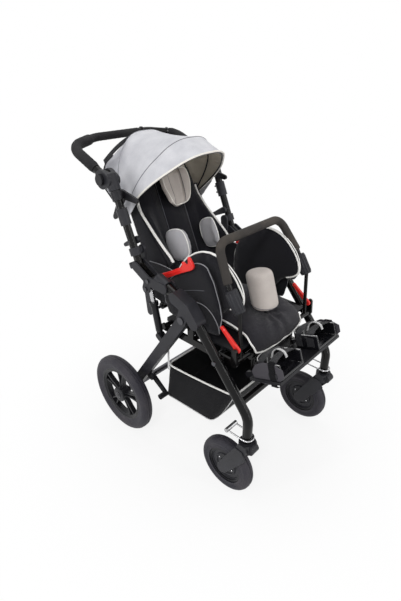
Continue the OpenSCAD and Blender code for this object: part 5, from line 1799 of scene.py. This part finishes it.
@dataclass
class PushHandle:
    """The foam grips on the push handle and the rings beside them."""

    pivot: Point = (-36.2, 929.6)
    rise: float = 23.0
    side_x: float = 226.0
    top_x: float = 116.0
    runs: Place = (34, 186, 222)
    radii: Point = (60, 150)
    grip_start: float = 52.0
    slim: float = 0.8
    slim_x: Point = (132, 14)
    ring_x: float = 84.0
    ring_w: float = 9.0
    ring_r: float = 16.0
    far_grip_x: float = 196.0
    grip_d: float = 34.0
    ripple: float = 0.012

    def at(self, run: float, across: float) -> Vector:
        """A place along the handle's plane, back from its pivots."""
        s, c = slope(self.rise)
        return spot(self.pivot[0] - run * c, self.pivot[1] + run * s, across)

    def section(self, part: Sequence[Vector], t: float) -> list[Point]:
        """A grip's section, with soft ends and shallow finger rings.

        Args:
            part: The grip's line.
            t: The share of it.

        Returns:
            The section.
        """
        count = len(part)
        wave = 1 + self.ripple * cos(2 * pi * t * count / 4)
        inward = abs(part[min(count - 1, round(t * (count - 1)))].x) / MM
        wave *= mix(self.slim, 1.0, smooth((inward - self.slim_x[0]) / self.slim_x[1]))
        return ring(self.grip_d / 2 * MM * wave * (0.84 + 0.16 * smooth(min(t, 1 - t) * count / 3)), 22)

    def build(self) -> None:
        """Builds the two grips and the ring where each ends."""
        low, bend, top = self.runs
        places = ((low, self.side_x), (bend, self.side_x), (top, self.top_x))
        corners = [self.at(run, x) for run, x in places] + [self.at(run, -x) for run, x in reversed(places)]
        first, second = (r * MM for r in self.radii)
        line = evened(rounded(corners, [first, second, second, first], 16), 5 * MM)
        grips = []
        for side in SIDES:
            inner = -self.ring_x if side < 0 else self.far_grip_x
            part = [
                p for p in line
                if p.x * side > inner * MM and (p - self.at(0, p.x / MM)).length > self.grip_start * MM
            ]
            grips.append(sweep("grip", part, lambda t: self.section(part, t)))
        grip = merged("handle_foam", grips)
        dress(grip, Finishes.FOAM_BLACK, "handle", ["handle_grips"])
        for name, start in (("near", self.ring_x), ("far", self.far_grip_x - self.ring_w)):
            end = [p for p in line if start < p.x / MM < start + self.ring_w and p.z > self.at(bend, 0).z]
            collar = sweep(f"grip_ring_{name}", end, ring(self.ring_r * MM, 22))
            dress(collar, Finishes.GLOSS_BLACK, "handle")


@dataclass
class Basket:
    """The cloth basket under the seat: a lofted shell that sags, its piping and straps."""

    rear_top: Point = (172, 326)
    front_top: Point = (466, 358)
    front_low: Point = (371, 186)
    rear_low: Point = (142, 173)
    half_w: float = 201.0
    half_l: float = 148.0
    corner: float = 20.0
    wall: float = 2.2
    levels: int = 16
    floor: tuple[float, ...] = (0.97, 0.85, 0.65, 0.42, 0.2, 0.04)
    sag: float = 4.0
    bulge: float = 6.0
    around: int = 120
    strap_x: float = 203.5
    strap_ahead: Point = (178, 184)
    strap_top: float = 472.0

    def loop(self, level: float, shrink: float = 1.0) -> list[Vector]:
        """The basket's outline at a level.

        Args:
            level: From the rim, 0, to the floor, 1.
            shrink: The outline's share on the floor.

        Returns:
            The places round it.
        """
        rear = [mix(a, b, level) for a, b in zip(self.rear_top, self.rear_low)]
        front = [mix(a, b, level) for a, b in zip(self.front_top, self.front_low)]
        tilt = Vector((front[0] - rear[0], front[1] - rear[1]))
        length = tilt.length
        way = tilt.normalized()
        out = self.bulge * sin(pi * min(level, 1.0)) if shrink == 1.0 else 0.0
        half_w = (self.half_w - 8 * level) * shrink
        half_l = length / 2 * shrink
        r = self.corner * shrink
        places = []
        for k in range(self.around):
            turn = 2 * pi * (k + 0.5) / self.around
            c, s = cos(turn), sin(turn)
            scale = min(half_l / max(abs(c), 1e-6), half_w / max(abs(s), 1e-6))
            u, x = c * scale, s * scale
            over = Vector((abs(u) - (half_l - r), abs(x) - (half_w - r)))
            if over.x > 0 and over.y > 0:
                over = over.normalized() * r
                u = copysign(half_l - r + over.x, u)
                x = copysign(half_w - r + over.y, x)
            edge_u, edge_x = 1 - (u / half_l) ** 2, 1 - (x / half_w) ** 2
            droop = self.sag * (1 - level) * max(0.0, edge_u) * (1 if abs(x) > half_w * 0.9 else 0.4)
            droop += 0.7 * self.sag * (1 - shrink * shrink) if shrink < 1 else 0.0
            if shrink == 1.0:
                if abs(x) > half_w - 1:
                    x += copysign(min(out, 2.5) * edge_u, x)
                elif abs(u) > half_l - 1:
                    u += copysign(out * edge_x, u)
            mid = ((rear[0] + front[0]) / 2, (rear[1] + front[1]) / 2)
            places.append(spot(mid[0] + u * way.x, mid[1] + u * way.y - droop, x))
        return places

    def build(self) -> None:
        """Builds the shell, its piping and its straps."""
        n = self.around
        loops = [self.loop(k / self.levels) for k in range(self.levels + 1)]
        loops += [self.loop(1.0, share) for share in self.floor]
        places = [p for loop in loops for p in loop]
        faces = []
        for a in range(0, (len(loops) - 1) * n, n):
            faces += [(a + k, a + (k + 1) % n, a + n + (k + 1) % n, a + n + k) for k in range(n)]
        faces.append(tuple((len(loops) - 1) * n + k for k in range(n)))
        shell = from_faces("basket_shell", places, faces)
        settle(shell, SOFT_CREASE)
        apply(shell, "SOLIDIFY", thickness=self.wall * MM, offset=-1.0)
        take(shell)
        bpy.ops.object.shade_smooth()
        # The basket's cloth is darkened as painted shade under the seat.
        dress(shell, Finishes.CLOTH_DEEP, "chassis", ["basket"])
        rim = sweep("basket_rim_piping", loops[0], cord(3.0), closed=True)
        dress(rim, Finishes.PIPING_WHITE, "chassis")
        low = sweep("basket_floor_piping", loops[self.levels], cord(2.0), closed=True)
        dress(low, Finishes.PIPING_SILVER, "chassis")
        turn = atan2(self.half_w, self.half_l)
        for name, at in (
            ("front_left", turn), ("rear_left", pi - turn), ("rear_right", pi + turn),
            ("front_right", 2 * pi - turn),
        ):
            k = round(at / (2 * pi) * n - 0.5) % n
            edge = sweep(f"basket_{name}_piping", [loop[k] for loop in loops[: self.levels + 1]], cord(2.0))
            dress(edge, Finishes.PIPING_SILVER, "chassis")
        self.straps()

    def straps(self) -> None:
        """The webbing straps that hang the basket from the frame."""
        low = self.rear_top[1] - 18
        for side in SIDES:
            line = [
                spot(mix(*self.strap_ahead, k / 8), mix(low, self.strap_top, k / 8), side * self.strap_x)
                for k in range(9)
            ]
            strap = sweep(f"basket_rear_strap_{SIDES[side]}", line, band(9, 2.2), side=Vector((0, 1, 0)))
            dress(strap, Finishes.PIPING_SILVER, "chassis")


@dataclass
class Wheels:
    """The tyres, rims, hub caps and caster discs, and the forks' cheeks."""

    rear_x: float = 279.0
    rear_y: float = 270.0
    rear_r: float = 150.0
    rear_w: float = 46.0
    rear_rim_r: float = 106.0
    rear_rim_w: float = 32.0
    front_x: float = 226.0
    front_y: float = -199.0
    front_r: float = 97.5
    front_w: float = 40.0
    front_rim_r: float = 64.0
    disc_bolts: int = 4
    opening_r: float = 91.0
    hub_r: float = 25.0
    spokes: int = 5
    spoke_x: float = 9.0
    cheek_way: Point = (86, 137.5)
    cheek_r: Point = (19, 26)
    cheek_l: float = 132.0
    cheek_t: float = 4.0
    cheek_waist: Point = (70, 0.9)
    cheek_tip: float = 12.0
    blade: Line = ((20, 1), (20, 8), (62, 11.5), (93, 19), (93, 10), (62, 4.5))
    spoke_turn: float = 0.35
    cap: Line = (
        (-4, 0), (-4, 27), (-1, 29), (2.5, 27.5), (4, 22), (4.2, 15), (3.2, 13.5), (3.2, 9),
        (6, 7.5), (6.4, 0),
    )
    disc_x: float = 6.0
    disc: Line = (
        (8, 0), (8, 18), (8, 20), (3, 22), (3, 34), (6, 36), (6, 39), (2.5, 41),
        (2.5, 52), (6, 54), (6, 57.5), (0, 58.5), (-1, 58),
    )
    bolt: Line = ((-1.5, 0), (-1.5, 3.4), (1.2, 3.2), (2.4, 1.8), (2.7, 0))
    bolt_x: float = 9.0
    bolt_ring: float = 29.0

    def cheeks(self, tag: str, axle: Vector) -> None:
        """Broad moulded cheeks over the fork's arms, widest at its crown.

        Args:
            tag: The side's name.
            axle: The caster's middle.
        """
        way = Vector((0, -self.cheek_way[0], self.cheek_way[1])).normalized()
        over = Vector((0, way.z, -way.y))
        low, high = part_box(f"caster_fork_{tag}")
        narrow, wide = self.cheek_r
        run, waist = self.cheek_waist
        line = [
            over * narrow * cos(pi * k / 12) - way * narrow * sin(pi * k / 12) for k in range(13)
        ]
        end = self.cheek_l
        line += [way * run - over * wide * waist, way * end - over * wide, way * (end + self.cheek_tip)]
        line += [way * end + over * wide, way * run + over * wide * waist]
        parts = []
        for face, x in ((-1, low.x), (1, high.x)):
            edge = [Vector((x + face * -0.6 * MM, axle.y, axle.z)) + p * MM for p in line]
            parts.append(slab("cheek", edge, Vector((face * self.cheek_t * MM, 0, 0)), 1.6 * MM))
        dress(merged(f"fork_cheeks_{tag}", parts), Finishes.GRAPHITE, f"fork_{tag}")

    def rim(self, tag: str, centre: Vector) -> None:
        """A moulded rim: its ring, its hub and twin spokes that widen outwards.

        Args:
            tag: The side's name.
            centre: The wheel's middle.
        """
        half, outer = self.rear_rim_w / 2, self.rear_rim_r
        hoop = [
            (-half, outer), (-half, outer - 5), (-half + 3, outer - 9), (-half + 5, self.opening_r),
            (half - 5, self.opening_r), (half - 3, outer - 9), (half, outer - 5), (half, outer),
        ]
        hub = self.hub_r
        boss = [(-20, 9), (-20, hub - 4), (-14, hub), (14, hub), (20, hub - 4), (20, 9)]
        parts = [spun("hoop", hoop, centre, 96, True), spun("boss", boss, centre, 48, True)]
        inner = Vector((self.spoke_x * MM, 0, 0))
        for k in range(self.spokes):
            turn = 2 * pi * k / self.spokes + self.spoke_turn
            out, over = Vector((0, cos(turn), sin(turn))), Vector((0, -sin(turn), cos(turn)))
            for lean in SIDES:
                edge = [centre + (out * r + over * lean * t) * MM - inner for r, t in self.blade]
                parts.append(slab("spoke", edge, Vector((2 * self.spoke_x * MM, 0, 0)), 1.6 * MM))
        rim = merged(f"rear_wheel_rim_{tag}", parts)
        dress(rim, Finishes.BLACK_MOULD, f"rear_wheel_{tag}", [f"rear_rim_{tag}"])

    def tyre_profile(self, radius: float, width: float, rim_r: float, rim_w: float) -> list[Point]:
        """A tyre's closed section with a flat tread and three grooves.

        Args:
            radius: The tyre's radius.
            width: Its width.
            rim_r: The rim's radius.
            rim_w: The rim's width.

        Returns:
            Places along the axle and out from it.
        """
        half = width / 2
        points: list[Point] = [(-rim_w / 2, rim_r + 0.1)]
        mid = (radius + rim_r) / 2 + (radius - rim_r) * 0.05
        for k in range(9):
            turn = pi * (1.18 - 0.62 * k / 8)
            rise = sin(turn)
            reach = (radius - mid) * 0.985 if rise > 0 else (mid - rim_r) * 0.75
            points.append((half * squared(turn, 0.8)[0], mid + reach * rise))
        wall = len(points)
        tread, groove, deep = half * 0.42, half * 0.07, 2.2
        for at in (-tread * 0.78, 0.0, tread * 0.78):
            crown = radius - 1.2 * (at / tread) ** 2
            cuts = ((-1, 0), (-0.5, deep), (0.5, deep), (1, 0))
            points += [(at + groove * k, crown - cut) for k, cut in cuts]
        points += [(-x, r) for x, r in reversed(points[:wall])]
        return points

    def build(self) -> None:
        """Builds both pairs of wheels' dressing."""
        for side in SIDES:
            self.rear_wheel(side, SIDES[side])
            self.caster(side, SIDES[side])

    def rear_wheel(self, side: int, tag: str) -> None:
        """One rear wheel's tyre, rim and hub cap.

        Args:
            side: The side's sign.
            tag: The side's name.
        """
        body = f"rear_wheel_{tag}"
        centre = Vector((side * self.rear_x, self.rear_y, self.rear_r)) * MM
        profile = self.tyre_profile(self.rear_r, self.rear_w, self.rear_rim_r, self.rear_rim_w)
        tyre = spun(f"rear_tyre_tread_{tag}", profile, centre, 96, True)
        dress(tyre, Finishes.TYRE, body, [f"rear_tyre_{tag}"])
        self.rim(tag, centre)
        low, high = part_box(f"rear_rim_{tag}")
        face = (high.x if side > 0 else low.x) / MM - side * self.rear_x
        cap = spun(f"hub_cap_{tag}", [(face + side * x, r) for x, r in self.cap], centre, 48)
        dress(cap, Finishes.BLACK_MOULD, body)

    def caster(self, side: int, tag: str) -> None:
        """One caster's tyre, discs, bolts and fork cheeks.

        Args:
            side: The side's sign.
            tag: The side's name.
        """
        body = f"caster_wheel_{tag}"
        front = Vector((side * self.front_x, self.front_y, self.front_r)) * MM
        profile = self.tyre_profile(self.front_r, self.front_w, self.front_rim_r, self.front_w * 0.92)
        tyre = spun(f"caster_tyre_tread_{tag}", profile, front, 80, True)
        dress(tyre, Finishes.TYRE, body, [f"caster_tyre_{tag}"])
        discs, bolts = [], []
        for face in SIDES:
            discs.append(spun("disc", [(face * self.disc_x + face * x, r) for x, r in self.disc], front))
        dress(merged(f"caster_disc_{tag}", discs), Finishes.GRAPHITE, body)
        self.cheeks(tag, front)
        for face in SIDES:
            for k in range(self.disc_bolts):
                turn = 2 * pi * (k + 0.3) / self.disc_bolts
                way = (face * self.bolt_x, self.bolt_ring * cos(turn), self.bolt_ring * sin(turn))
                dome = [(face * x, r) for x, r in self.bolt]
                bolts.append(spun("bolt", dome, front + Vector(way) * MM, 16))
        dress(merged(f"caster_bolts_{tag}", bolts), Finishes.STEEL, body)


@dataclass
class Levers:
    """The red recline and legrest levers."""

    x: float = 184.0
    thick: float = 9.0
    recline_root: Point = (150, 648)
    recline_way: float = 30.0
    arm: Line = (
        (-8, -8), (2, -11), (30, -10), (80, -9), (118, -10), (140, -11), (156, -10), (163, -4), (164, 6),
        (161, 22), (158, 28), (153, 28), (150, 20), (146, 12), (140, 10), (132, 12), (128, 20), (122, 22),
        (118, 14), (108, 9), (60, 8), (28, 9), (0, 11), (-8, 8), (-11, 0),
    )
    rib: Line = ((14, -3), (100, -3), (104, 0), (100, 3), (14, 3), (10, 0))
    rib_thick: float = 2.2
    legrest: tuple[Point, Point] = ((462, 518), (402.25, 568.1))
    legrest_r: float = 9.0
    legrest_taper: float = 0.62

    def plate(self, name: str, outline: Sequence[Point], side: int) -> Piece:
        """A lever's moulded plate on one side."""
        start = [spot(a, z, side * self.x) for a, z in outline]
        return slab(name, start, Vector((side * self.thick * MM, 0, 0)), 2.4 * MM)

    def at(self, run: float, up: float) -> Point:
        """A place along the recline lever, ahead and up."""
        (s, c), root = slope(self.recline_way), self.recline_root
        return (root[0] + run * c - up * s, root[1] + run * s + up * c)

    def build(self) -> None:
        """Builds both pairs."""
        arm, rib = [self.at(*p) for p in self.arm], [self.at(*p) for p in self.rib]
        levers = [self.plate("lever", arm, side) for side in SIDES]
        for side in SIDES:
            edge = [spot(a, z, side * (self.x + self.thick - 1)) for a, z in rib]
            levers.append(slab("rib", edge, Vector((side * self.rib_thick * MM, 0, 0)), 0.9 * MM))
        dress(merged("recline_handles", levers), Finishes.RED, "recline_lever", ["recline_levers"])
        shape = rounded_end(*self.legrest, self.legrest_r, self.legrest_r * self.legrest_taper)
        pulls = [self.plate("pull", shape, side) for side in SIDES]
        dress(merged("legrest_handles", pulls), Finishes.RED, "legrest_lever", ["legrest_levers"])


@dataclass
class FootRest:
    """The calf pad, the foot sandals and their straps, flaps and buckles."""

    hinge: Point = (456, 389.5)
    tilt: float = 20.0
    sandal_x: Point = (44, 156)
    sandal_run: Point = (48, 158)
    sandal_up: Point = (19.3, 65.3)
    sandal_wall: float = 3.5
    sandal_edge: float = 2.6
    straps: tuple[tuple[str, float, float, float], ...] = (("toe", 132, 7, 26), ("ankle", 92, 9, 22))
    strap_proud: float = 2.2
    strap_drop: float = 16.0
    flap: Line = (
        (495, 446), (504, 472), (530, 494), (566, 504), (596, 500), (604, 478), (588, 448),
        (560, 430), (530, 422), (505, 427),
    )
    flap_strap: Line = ((558, 502), (568, 466), (578, 434))
    flap_fold: Point = (9, 4)
    hoop: Line = (
        (520, 474), (522, 500), (532, 513), (546, 518), (565, 515), (570, 500),
    )
    hoop_x: float = 100.0
    buckle: Point = (132, 34)
    buckle_half: Point = (15, 8)

    def at(self, run: float, up: float, across: float) -> Vector:
        """A place on the footplate, from its hinge."""
        s, c = slope(self.tilt)
        return spot(self.hinge[0] + run * c - up * s, self.hinge[1] + run * s + up * c, across)

    def rim(self, side: int) -> list[Vector]:
        """The line along a sandal's upper edge, round its heel.

        Args:
            side: The side's sign.

        Returns:
            The line's places.
        """
        inner, outer = self.sandal_x
        radius, middle = (outer - inner) / 2 - self.sandal_wall, (inner + outer) / 2
        heel, toe = self.sandal_run[0] + (outer - inner) / 2, self.sandal_run[1] - 2
        line = [(toe, -1.0), (mix(toe, heel, 0.5), -1.0)]
        line += [(heel - radius * sin(pi * k / 24), -cos(pi * k / 24)) for k in range(25)]
        line += [(mix(toe, heel, 0.5), 1.0), (toe, 1.0)]
        up = self.sandal_up[1] + 0.4
        return [self.at(run, up, side * (middle + share * radius)) for run, share in line]

    def build(self) -> None:
        """Builds the calf pad and both sandals."""
        pad = Stuffing(voxel=4.0, tuck=1.4, cap=2.6).fill("calf_pad", "calf_cushion")
        dress(pad, Finishes.CLOTH_BLACK, "legrest", ["calf_pad"])
        shell = node_copy("foot_sandals", "sandal_shells")
        with editing(shell):
            bpy.ops.mesh.dissolve_limited(angle_limit=radians(2))
        bevel(shell, self.sandal_edge * MM)
        settle(shell, 35)
        dress(shell, Finishes.GLOSS_BLACK, "foot_support", ["foot_sandals"])
        for side in SIDES:
            self.strap_pair(side)
            self.flap_pair(side)
            self.edging(side)

    def strap_pair(self, side: int) -> None:
        """The toe and ankle straps over one sandal.

        Args:
            side: The side's sign.
        """
        (low, high), proud, drop = self.sandal_up, self.strap_proud, self.strap_drop
        inner, outer = self.sandal_x[0] - proud, self.sandal_x[1] + proud
        way = (self.at(1, 0, 0) - self.at(0, 0, 0)).normalized()
        for label, run, rise, width in self.straps:
            line = [self.at(run, low + 10, side * inner)]
            for k in range(41):
                t = k / 40
                hump = sin(pi * t)
                up = (high - drop) + drop * smooth(min(t, 1 - t) / 0.06) + rise * hump ** 0.7
                line.append(self.at(run - 10 * hump, up, side * mix(inner, outer, t)))
            line.append(self.at(run, low + 10, side * outer))
            strap = sweep(f"sandal_{label}_strap_{SIDES[side]}", line, band(width, 2.6), side=way)
            dress(strap, Finishes.WEBBING, "foot_support")

    def flap_pair(self, side: int) -> None:
        """The side flap of one sandal and the strap over it.

        Args:
            side: The side's sign.
        """
        tag, outer = SIDES[side], self.sandal_x[1]
        flap = [spot(a, z, side * (outer + 2.6)) for a, z in self.flap]
        plate = slab(f"sandal_flap_{tag}", flap, Vector((side * 2.2 * MM, 0, 0)), 0.8 * MM)
        dress(plate, Finishes.FLAP, "foot_support")
        tie = [spot(a, z, side * (outer + 6.2)) for a, z in self.flap_strap]
        back, drop = side * self.flap_fold[0] * MM, self.flap_fold[1] * MM
        tie = evened([tie[0] - Vector((back, 0, -drop)), *tie, tie[-1] - Vector((back, 0, drop))], 4 * MM)
        strap = sweep(f"sandal_flap_strap_{tag}", tie, band(22, 2.2), side=Vector((0, -1, 0.3)))
        dress(strap, Finishes.CLOTH_DEEP, "foot_support")

    def edging(self, side: int) -> None:
        """The heel loop, the rim's piping and the buckle of one sandal.

        Args:
            side: The side's sign.
        """
        tag, outer = SIDES[side], self.sandal_x[1]
        hoop = relaxed(evened([spot(a, z, side * self.hoop_x) for a, z in self.hoop], 4 * MM), False, 12)
        loop = sweep(f"sandal_heel_loop_{tag}", hoop, band(3, 7), side=Vector((0, -1, 0.6)))
        dress(loop, Finishes.PIPING_SILVER, "foot_support")
        trim = sweep(f"sandal_rim_piping_{tag}", self.rim(side), cord(1.4))
        dress(trim, Finishes.PIPING_SILVER, "foot_support")
        (run, up), (long, high) = self.buckle, self.buckle_half
        corners = ((-1, -1), (1, -1), (1, 1), (-1, 1))
        plate = [self.at(run + a * long, up + b * high, side * (outer + 3.6)) for a, b in corners]
        buckle = slab(f"sandal_buckle_{tag}", plate, Vector((side * 3.4 * MM, 0, 0)), 1.4 * MM)
        dress(buckle, Finishes.GRAPHITE, "foot_support")


@dataclass
class FrameDress:
    """Finishes on the CAD pieces that stay showing."""

    special: tuple[tuple[str, Finishes], ...] = (
        ("frame_bolts", Finishes.DARK_STEEL), ("rear_axle", Finishes.DARK_STEEL),
        ("pommel_post", Finishes.BLACK_MOULD),
    )
    finishes: tuple[tuple[str, Finishes], ...] = (
        ("frame_black", Finishes.FRAME_BLACK), ("graphite", Finishes.GRAPHITE), ("steel", Finishes.STEEL),
        ("black_plastic", Finishes.BLACK_MOULD), ("red", Finishes.RED), ("tyre", Finishes.TYRE),
        ("fabric_black", Finishes.CLOTH_BLACK), ("fabric_silver", Finishes.CLOTH_SILVER),
        ("fabric_grey", Finishes.CLOTH_GREY), ("foam_black", Finishes.FOAM_BLACK),
        ("foam_brown", Finishes.FOAM_BROWN),
    )

    def build(self) -> None:
        """Gives every CAD piece the finish of its slot."""
        by_slot = dict(self.finishes)
        owner = {part["node"]: part["material_slot"] for part in frame["record"]["subparts"]}
        for name, piece in frame["nodes"].items():
            finish = dict(self.special).get(name, by_slot[owner[name]])
            if not piece.material_slots:
                piece.data.materials.append(finish.value.material())
            for slot in piece.material_slots:
                slot.material = finish.value.material()
            LOG.info("%s: %s", name, finish.name.lower())


@dataclass
class Studio:
    """The camera, the floor and the light."""

    eye: Place = (-0.9909, -0.8072, 1.2371)
    turn: float = -46.54
    rise: float = 28.95
    roll: float = -0.35
    lens: float = 25.83
    floor_size: float = 14.0
    floor_fade: tuple[tuple[str, float], ...] = (
        ("From Min", 0.35), ("From Max", 0.95), ("To Min", 0.84), ("To Max", 1.0),
    )
    aim: Place = (0, 0, 0.5)
    lights: tuple[tuple[str, Place, float, float, float], ...] = (
        ("key", (-2.2, -1.2, 2.8), 34.0, 0.6, 0.6), ("fill", (1.8, -2.4, 1.8), 12.0, 2.0, 2.0),
        ("top", (0.2, 0.6, 3.2), 24.0, 1.8, 1.8), ("strip_left", (-2.3, 0.5, 1.1), 15.0, 0.1, 2.6),
        ("strip_front", (0.3, -2.4, 1.1), 14.0, 0.1, 2.6),
    )
    world_light: float = 0.5

    def build(self) -> None:
        """Sets up the camera, floor, lamps and background."""
        self.camera()
        self.floor()
        self.lamps()
        self.background()
        bpy.context.scene.view_settings.view_transform = "Standard"

    def camera(self) -> None:
        """The camera at the photograph's place and angle."""
        data = bpy.data.cameras.new("camera")
        data.lens, data.sensor_width, data.sensor_fit = self.lens, 36.0, "AUTO"
        data.clip_start = 0.01
        a, e, r = (radians(v) for v in (self.turn, self.rise, self.roll))
        back = Vector((sin(a) * cos(e), -cos(a) * cos(e), sin(e)))
        right = Vector((cos(a), sin(a), 0))
        up = back.cross(right)
        right, up = right * cos(r) + up * sin(r), up * cos(r) - right * sin(r)
        camera = placed("camera", data)
        camera.matrix_world = Matrix.Translation(self.eye) @ Matrix((right, up, back)).transposed().to_4x4()
        bpy.context.scene.camera = camera

    def floor(self) -> None:
        """A plain pale floor that keeps a soft shadow."""
        clear_selection()
        bpy.ops.mesh.primitive_plane_add(size=self.floor_size, location=(0, 0, 0))
        floor = bpy.context.object
        floor.name = "floor"
        material = bpy.data.materials.new("pale_floor")
        material.use_nodes = True
        sheet = NodeSheet(material.node_tree)
        out = sheet.add("ShaderNodeOutputMaterial")
        matt = sheet.add("ShaderNodeBsdfDiffuse")
        tune(matt, {"Color": (0.88, 0.88, 0.88, 1)})
        glow = sheet.add("ShaderNodeEmission")
        tune(glow, {"Color": (1, 1, 1, 1)})
        path = sheet.add("ShaderNodeLightPath")
        seen = sheet.sum("MAXIMUM", path.outputs["Is Camera Ray"], path.outputs["Is Glossy Ray"])
        seen = sheet.sum("MAXIMUM", seen, path.outputs["Is Transmission Ray"])
        blend = sheet.add("ShaderNodeMixShader")
        place = sheet.add("ShaderNodeTexCoord")
        far = sheet.add("ShaderNodeVectorMath", operation="LENGTH")
        sheet.join(place.outputs["Object"], far.inputs[0])
        fade = sheet.add("ShaderNodeMapRange", interpolation_type="SMOOTHSTEP")
        tune(fade, dict(self.floor_fade))
        sheet.join(far.outputs["Value"], fade.inputs["Value"])
        sheet.join(sheet.sum("MULTIPLY", seen, fade.outputs[0]), blend.inputs[0])
        sheet.join(matt.outputs[0], blend.inputs[1])
        sheet.join(glow.outputs[0], blend.inputs[2])
        sheet.join(blend.outputs[0], out.inputs[0])
        floor.data.materials.append(material)

    def lamps(self) -> None:
        """Three soft lamps, and two tall strips that draw thin lights along the tubes."""
        for name, place, power, wide, tall in self.lights:
            data = bpy.data.lights.new(name, "AREA")
            data.shape = "RECTANGLE"
            data.energy, data.size, data.size_y = power, wide, tall
            turn = (Vector(self.aim) - Vector(place)).to_track_quat("-Z", "Y").to_matrix().to_4x4()
            placed(name, data).matrix_world = Matrix.Translation(place) @ turn

    def background(self) -> None:
        """White to the camera and in reflections, soft grey as light."""
        world = bpy.data.worlds.new("studio")
        bpy.context.scene.world = world
        world.use_nodes = True
        sheet = NodeSheet(world.node_tree)
        out = sheet.add("ShaderNodeOutputWorld")
        white, light = sheet.add("ShaderNodeBackground"), sheet.add("ShaderNodeBackground")
        tune(white, {"Strength": 1.0, "Color": (1, 1, 1, 1)})
        tune(light, {"Strength": self.world_light, "Color": (1, 1, 1, 1)})
        path = sheet.add("ShaderNodeLightPath")
        seen = sheet.sum("MAXIMUM", path.outputs["Is Camera Ray"], path.outputs["Is Transmission Ray"])
        seen = sheet.sum("MAXIMUM", seen, path.outputs["Is Glossy Ray"])
        blend = sheet.add("ShaderNodeMixShader")
        sheet.join(seen, blend.inputs[0])
        sheet.join(light.outputs[0], blend.inputs[1])
        sheet.join(white.outputs[0], blend.inputs[2])
        sheet.join(blend.outputs[0], out.inputs[0])


def main() -> None:
    """Builds every sub-assembly in order."""
    logging.basicConfig(level=logging.INFO, format="%(name)s %(message)s")
    for assembly in (
        Studio(), FrameDress(), Canopy(), Backrest(), Seat(), Bumper(), PushHandle(), Basket(), Wheels(),
        Levers(), FootRest(),
    ):
        assembly.build()
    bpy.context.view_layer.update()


if __name__ == "__main__":
    main()
